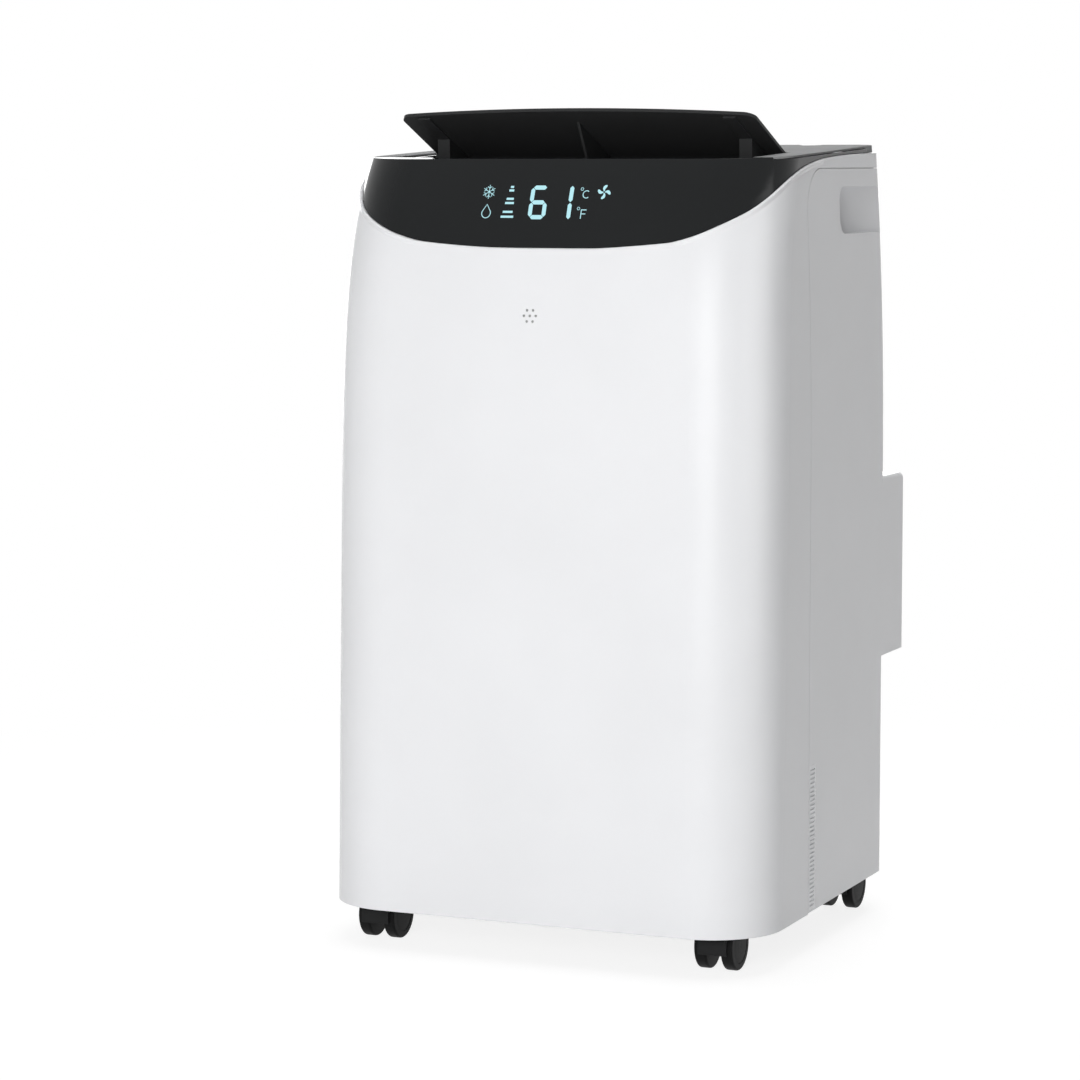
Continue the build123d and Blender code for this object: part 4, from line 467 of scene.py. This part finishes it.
FIN_PITCH = 1.8 * MM
FIN_HALF = 0.1 * MM
FIN_WAVE = 0.5 * MM
FIN_BENDS = 6
TUBE_RADIUS = 4.2 * MM
TUBE_PITCH = 25 * MM
TUBE_ROWS = (0.3, 0.7)       # shares of the coil's depth
TUBE_SIDES = 16


def finned(node, name):
    """Thin waved fins side by side, with two rows of tubes through them, in the room of a plain coil."""
    low, high = [Vector(corner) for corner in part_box(node)]
    size = high - low
    fins = bmesh.new()
    margin = FIN_WAVE + FIN_HALF
    count = int((size.x - 2 * margin) / FIN_PITCH)
    for k in range(count + 1):
        x = low.x + margin + (size.x - 2 * margin) * k / count
        wave = [(x + FIN_WAVE * (1 if bend % 2 else -1), low.y + size.y * bend / FIN_BENDS)
                for bend in range(FIN_BENDS + 1)]
        plan = [(across - FIN_HALF, deep) for across, deep in wave]
        plan += [(across + FIN_HALF, deep) for across, deep in reversed(wave)]
        loft(fins, [[Vector((across, deep, z)) for across, deep in plan] for z in (low.z, high.z)])
    fin_piece = new_piece(f"{name}_fins", fins, ALUMINIUM)
    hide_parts(node)
    tubes = bmesh.new()
    levels = int(size.z / TUBE_PITCH)
    for level in range(levels):
        z = low.z + size.z * (level + 0.5) / levels
        for share in TUBE_ROWS:
            y = low.y + size.y * share
            loft(tubes, [circle(Vector((x, y, z)), TUBE_RADIUS, Y, Z, TUBE_SIDES) for x in (low.x, high.x)])
    new_piece(f"{name}_tubes", tubes, COPPER, smooth=ROUND)


finned("evaporator_coil", "evaporator")
finned("condenser_coil", "condenser")


# Plain caps in the dished outer faces of the wheels

CAP_PROFILE = ((0.2, 0.02), (8.1, 0.05), (14.58, 0.14), (16.2, 0.30), (16.2, 0.55))   # radius and depth
CAP_SIDES = 48
CAP_ROUND = 50
for corner in CORNERS:
    for side, sign in (("left", -1), ("right", 1)):
        low, high = [Vector(edge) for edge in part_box(f"wheel_{corner}_{side}")]
        centre = (low + high) / 2
        centre.x = high.x if sign > 0 else low.x
        cap = bmesh.new()
        loft(cap, [circle(centre - X * (sign * sink * MM), radius * MM, Y, Z, CAP_SIDES)
                   for radius, sink in CAP_PROFILE])
        new_piece(f"cap_{corner}_{side}", cap, WHEEL, f"roller_{corner}_{side}",
                  smooth=CAP_ROUND)


# Guard of rings and spokes behind the hose collar

GUARD_WIRE = 1.2 * MM
GUARD_SIDES = 10
GUARD_RADIUS = 76.5 * MM
GUARD_RINGS = 7
GUARD_STEPS = 72
GUARD_SPOKES = 8
GUARD_HUB = ((0.1, 1.6), (8, 1.6), (11.5, 0.6), (11.5, -0.8), (0.1, -0.8))


def exhaust_guard():
    low, high = [Vector(corner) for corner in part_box("exhaust_collar")]
    centre = (low + high) / 2
    centre.y = low.y - GUARD_WIRE
    mesh = bmesh.new()
    for k in range(1, GUARD_RINGS + 1):
        radius = GUARD_RADIUS * k / GUARD_RINGS
        rings = []
        for out in circle(Vector(), 1, X, Z, GUARD_STEPS):
            rings.append(circle(centre + out * radius, GUARD_WIRE, out, Y, GUARD_SIDES))
        loft(mesh, rings, closed=True)
    for k in range(GUARD_SPOKES):
        angle = 2 * math.pi * (k + 0.5) / GUARD_SPOKES
        out = Vector((math.cos(angle), 0, math.sin(angle)))
        side = Vector((-out.z, 0, out.x))
        loft(mesh, [circle(centre + out * reach, GUARD_WIRE, side, Y, GUARD_SIDES)
                    for reach in (GUARD_RADIUS / GUARD_RINGS, GUARD_RADIUS)])
    turned(mesh, GUARD_HUB, centre)
    new_piece("exhaust_guard", mesh, COLLAR, smooth=ROUND)


exhaust_guard()


# Lit symbols on the fascia, drawn in front view in millimetres and laid on its surface

PROUD = 0.12 * MM
SUNK = 0.05 * MM
SAME = 0.01                  # a band whose ends are nearer than this is a closed one


def on_fascia(point, rise):
    """The place on the fascia behind a point of the front view, moved forward by rise."""
    hit = fascia_tree.ray_cast(Vector((point[0] * MM, BEFORE, point[1] * MM)), Y)
    return hit[0] - Y * rise


def symbol(name, plates=(), bands=()):
    """Thin lit plates: closed outlines, and bands of a width along runs of points."""
    mesh = bmesh.new()
    for outline in plates:
        loft(mesh, [[on_fascia(point, rise) for point in outline] for rise in (PROUD, -SUNK)])
    for points, width in bands:
        points = [Vector(point) for point in points]
        closed = (points[0] - points[-1]).length < SAME
        if closed:
            points.pop()
        rings = []
        for k, point in enumerate(points):
            before = points[k - 1] if closed or k else point
            after = points[(k + 1) % len(points)] if closed or k + 1 < len(points) else point
            side = (after - before).orthogonal().normalized() * width / 2
            rings.append([on_fascia(point + side, PROUD), on_fascia(point - side, PROUD),
                          on_fascia(point - side, -SUNK), on_fascia(point + side, -SUNK)])
        loft(mesh, rings, closed=closed)
    new_piece(name, mesh, GLOW)


def stroke(start, end, width):
    """A straight bar with square ends."""
    a, b = Vector(start), Vector(end)
    side = (b - a).orthogonal().normalized() * width / 2
    return [a + side, b + side, b - side, a - side]


def polar(centre, radius, degrees):
    turn = math.radians(degrees)
    return (centre[0] + radius * math.cos(turn), centre[1] + radius * math.sin(turn))


def arc(centre, radius, start=0, end=360, steps=24):
    return [polar(centre, radius, start + (end - start) * k / steps) for k in range(steps + 1)]


# Digits of seven bars; a bar's ends are given as column and row

DIGIT_WIDTH, DIGIT_HIGH, DIGIT_LOW = 13.2, 689.7, 663.7
BAR_WIDTH = 3.7
BAR_GAP = 0.3
BARS = {
    "top": ((0, 2), (1, 2)), "upper_left": ((0, 1), (0, 2)), "upper_right": ((1, 1), (1, 2)),
    "middle": ((0, 1), (1, 1)), "lower_left": ((0, 0), (0, 1)), "lower_right": ((1, 0), (1, 1)),
    "bottom": ((0, 0), (1, 0)),
}


def bar(a, b, width):
    """A bar with pointed ends."""
    along = (b - a).normalized()
    side = along.orthogonal() * width / 2
    tip = along * width / 2
    return [a, a + tip + side, b - tip + side, b, b - tip - side, a + tip - side]


def digit(name, left, lit, longer=0.0):
    """Lit bars; longer is how far the upright ones reach past the digit's top and bottom corners."""
    half = (DIGIT_HIGH - DIGIT_LOW) / 2
    outlines = []
    for part in lit:
        start, end = [Vector((left + column * DIGIT_WIDTH, DIGIT_LOW + row * half))
                      for column, row in BARS[part]]
        along = (end - start).normalized()
        lower = BARS[part][0][1] == 0
        start += along * (BAR_GAP - (longer if lower else 0))
        end -= along * (BAR_GAP - (0 if lower else longer))
        outlines.append(bar(start, end, BAR_WIDTH))
    symbol(name, outlines)


digit("digit_tens", -14.3, ("top", "upper_left", "middle", "lower_left", "lower_right", "bottom"))
digit("digit_units", 9.8, ("upper_right", "lower_right"), longer=1.9)

SNOW = Vector((-57.0, 685.8))
SNOW_ARM, SNOW_FORK, SNOW_TIP, SNOW_TIP_SIDE = 6.2, 3.2, 4.7, 2.0
SNOW_ARM_WIDTH, SNOW_TIP_WIDTH = 0.55, 0.5
snow = []
for k in range(6):
    ray = Vector(polar((0, 0), 1, 60 * k + 30))
    side = Vector((-ray.y, ray.x)) * SNOW_TIP_SIDE
    snow.append(stroke(SNOW, SNOW + ray * SNOW_ARM, SNOW_ARM_WIDTH))
    for tip in (ray * SNOW_TIP - side, ray * SNOW_TIP + side):
        snow.append(stroke(SNOW + ray * SNOW_FORK, SNOW + tip, SNOW_TIP_WIDTH))
symbol("icon_snowflake", snow)

DROP_TIP = (-57.0, 674.8)
drop = [DROP_TIP] + arc((-57.0, 667.0), 4.2, 155, 385, 26) + [DROP_TIP]
symbol("icon_drop", bands=[(drop, 0.7)])

SPEED_HEIGHT = 1.9
SPEED_BARS = ((690.2, 3.0, -35.1), (687.1, 4.7, -35.2), (679.7, 6.9, -35.4), (676.0, 8.5, -35.5),
              (668.2, 9.5, -36.1), (663.9, 12.2, -36.2))
symbol("icon_speed_bars", [
    stroke((middle - width / 2, height), (middle + width / 2, height), SPEED_HEIGHT)
    for height, width, middle in SPEED_BARS])

DEGREE_RADIUS, DEGREE_WIDTH, LETTER_WIDTH = 1.2, 0.45, 0.75
symbol("unit_celsius", bands=[(arc((32.7, 688.6), DEGREE_RADIUS), DEGREE_WIDTH),
                              (arc((37.4, 683.9), 3.2, 50, 310), LETTER_WIDTH)])
LETTER_STROKES = (((34.7, 662.6), (34.7, 670.6)), ((34.4, 670.3), (39.6, 670.3)),
                  ((34.7, 666.8), (38.9, 666.8)))
symbol("unit_fahrenheit", [stroke(start, end, LETTER_WIDTH) for start, end in LETTER_STROKES],
       [(arc((31.8, 671.5), DEGREE_RADIUS), DEGREE_WIDTH)])

FAN = (54.0, 686.0)
FAN_BLADE = ((0.9, 34), (2.4, 32), (3.8, 26), (5.2, 12), (6.2, -6), (6.5, -18), (5.6, -24), (4.2, -22),
             (3.0, -14), (1.8, -12), (0.9, -30))
symbol("icon_fan", [[polar(FAN, radius, degrees + 90 * k) for radius, degrees in FAN_BLADE]
                    for k in range(4)])


# Floor, light and camera

FLOOR_RADIUS = 14.0
FLOOR_SIDES = 96
FLOOR_LIGHT = 0.86           # what it throws back on the object
FLOOR_PALE = 0.28            # what is seen of it near the object: the part that takes a shadow
FLOOR_LIFT = 0.84            # and the even part
FLOOR_FADE = (0.35, 1.3)     # distances between which it turns white


def seen_directly(tree_nodes, links):
    """A value that is 1 for camera and glossy rays."""
    path = tree_nodes.new("ShaderNodeLightPath")
    either = tree_nodes.new("ShaderNodeMath")
    either.operation = "MAXIMUM"
    links.new(path.outputs["Is Camera Ray"], either.inputs[0])
    links.new(path.outputs["Is Glossy Ray"], either.inputs[1])
    return either.outputs["Value"]


def floor():
    """A pale floor with the object's shadow, which is white further away."""
    mesh = bmesh.new()
    bmesh.ops.create_circle(mesh, cap_ends=True, radius=FLOOR_RADIUS, segments=FLOOR_SIDES)
    piece = mesh_object("floor", mesh)
    material, tree_nodes, links = new_material("pale_floor")
    shader = tree_nodes["Principled BSDF"]
    shader.inputs["Base Color"].default_value = (*grey(FLOOR_LIGHT), 1)
    shader.inputs["Roughness"].default_value = 0.9
    shader.inputs["Specular IOR Level"].default_value = 0.1
    pale = tree_nodes.new("ShaderNodeBsdfDiffuse")
    pale.inputs["Color"].default_value = (*grey(FLOOR_PALE), 1)
    lift = tree_nodes.new("ShaderNodeEmission")
    lift.inputs["Strength"].default_value = FLOOR_LIFT
    white = tree_nodes.new("ShaderNodeEmission")
    white.inputs["Strength"].default_value = 1.0
    near = tree_nodes.new("ShaderNodeAddShader")
    far = tree_nodes.new("ShaderNodeMixShader")
    seen = tree_nodes.new("ShaderNodeMixShader")
    place = tree_nodes.new("ShaderNodeTexCoord")
    length = tree_nodes.new("ShaderNodeVectorMath")
    length.operation = "LENGTH"
    fade = tree_nodes.new("ShaderNodeMapRange")
    fade.interpolation_type = "SMOOTHSTEP"
    fade.inputs["From Min"].default_value, fade.inputs["From Max"].default_value = FLOOR_FADE
    links.new(place.outputs["Object"], length.inputs[0])
    links.new(length.outputs["Value"], fade.inputs["Value"])
    links.new(pale.outputs["BSDF"], near.inputs[0])
    links.new(lift.outputs["Emission"], near.inputs[1])
    links.new(fade.outputs["Result"], far.inputs["Fac"])
    links.new(near.outputs["Shader"], far.inputs[1])
    links.new(white.outputs["Emission"], far.inputs[2])
    links.new(seen_directly(tree_nodes, links), seen.inputs["Fac"])
    links.new(shader.outputs["BSDF"], seen.inputs[1])
    links.new(far.outputs["Shader"], seen.inputs[2])
    links.new(seen.outputs["Shader"], tree_nodes["Material Output"].inputs["Surface"])
    piece.data.materials.append(material)


def sky(level):
    """Even light of a level all round, which is white where it is seen."""
    world = bpy.data.worlds.new("studio")
    scene.world = world
    world.use_nodes = True
    tree_nodes, links = world.node_tree.nodes, world.node_tree.links
    background = tree_nodes["Background"]
    background.inputs["Color"].default_value = (1, 1, 1, 1)
    strength = tree_nodes.new("ShaderNodeMapRange")
    strength.inputs["To Min"].default_value = level
    strength.inputs["To Max"].default_value = 1.0
    links.new(seen_directly(tree_nodes, links), strength.inputs["Value"])
    links.new(strength.outputs["Result"], background.inputs["Strength"])


def softbox(name, place, aim, width, height, radiance, border, spread=True, gloss=True):
    """A rectangular lamp that faces a height on the object's middle and fades towards its borders.

    border is the share of each half that fades; spread and gloss say whether it lights matt surfaces
    and shows in shiny ones.
    """
    data = bpy.data.lights.new(name, "AREA")
    data.shape = "RECTANGLE"
    data.size, data.size_y = width, height
    data.energy = 4 * width * height * radiance   # a lamp's radiance is its energy over four areas
    data.use_nodes = True
    tree_nodes, links = data.node_tree.nodes, data.node_tree.links
    shape = tree_nodes.new("ShaderNodeNewGeometry")
    apart = tree_nodes.new("ShaderNodeSeparateXYZ")
    product = tree_nodes.new("ShaderNodeMath")
    product.operation = "MULTIPLY"
    links.new(shape.outputs["Parametric"], apart.inputs["Vector"])
    for k, axis in enumerate(("X", "Y")):
        middle = tree_nodes.new("ShaderNodeMath")
        middle.operation = "PINGPONG"
        middle.inputs[1].default_value = 0.5
        rise = tree_nodes.new("ShaderNodeMapRange")
        rise.interpolation_type = "SMOOTHSTEP"
        rise.inputs["From Max"].default_value = border / 2
        links.new(apart.outputs[axis], middle.inputs[0])
        links.new(middle.outputs["Value"], rise.inputs["Value"])
        links.new(rise.outputs["Result"], product.inputs[k])
    links.new(product.outputs["Value"], tree_nodes["Emission"].inputs["Strength"])
    lamp = bpy.data.objects.new(name, data)
    scene.collection.objects.link(lamp)
    lamp.location = place
    lamp.rotation_euler = (Z * aim - Vector(place)).to_track_quat("-Z", "Y").to_euler()
    lamp.visible_camera = False
    lamp.visible_diffuse = spread
    lamp.visible_glossy = gloss


def around(azimuth, distance, height):
    """A place round the object: azimuth counts from the front, towards its right side."""
    turn = math.radians(azimuth)
    return (distance * math.sin(turn), -distance * math.cos(turn), height)


floor()
sky(0.16)
KEY_PLACE = around(8, 3.6, 0.95)
softbox("key_softbox", KEY_PLACE, 0.42, 2.6, 2.6, 7.35, 0.7, gloss=False)
softbox("key_card", KEY_PLACE, 0.42, 2.6, 2.6, 2.4, 0.7, spread=False)
softbox("top_softbox", (0.1, 0.3, 3.4), 0.4, 2.6, 2.6, 2.6, 0.6)
softbox("back_softbox", around(196, 3.2, 1.3), 0.4, 2.0, 2.0, 4.2, 0.7)
softbox("left_softbox", around(-138, 3.2, 1.0), 0.4, 1.6, 2.0, 4.0, 0.7)
softbox("right_card", around(78, 2.4, 0.9), 0.5, 2.0, 2.0, 1.6, 0.3, spread=False)

IMAGE = 1080                 # pixels across, as are the next two
FOCAL_LENGTH = 3485.77
SHIFT_DOWN = 60
SENSOR = 36.0                # millimetres
CAMERA_PLACE = (1.22788, -3.01122, 0.71172)
CAMERA_DIP = 0.09078         # radians, as is the next
CAMERA_TURN = 0.40953
camera_data = bpy.data.cameras.new("photo_camera")
camera_data.sensor_width = SENSOR
camera_data.lens = SENSOR * FOCAL_LENGTH / IMAGE
camera_data.shift_y = -SHIFT_DOWN / IMAGE
camera = bpy.data.objects.new("photo_camera", camera_data)
scene.collection.objects.link(camera)
camera.location = CAMERA_PLACE
camera.rotation_euler = (math.pi / 2 - CAMERA_DIP, 0, CAMERA_TURN)
scene.camera = camera
scene.view_settings.view_transform = "Standard"
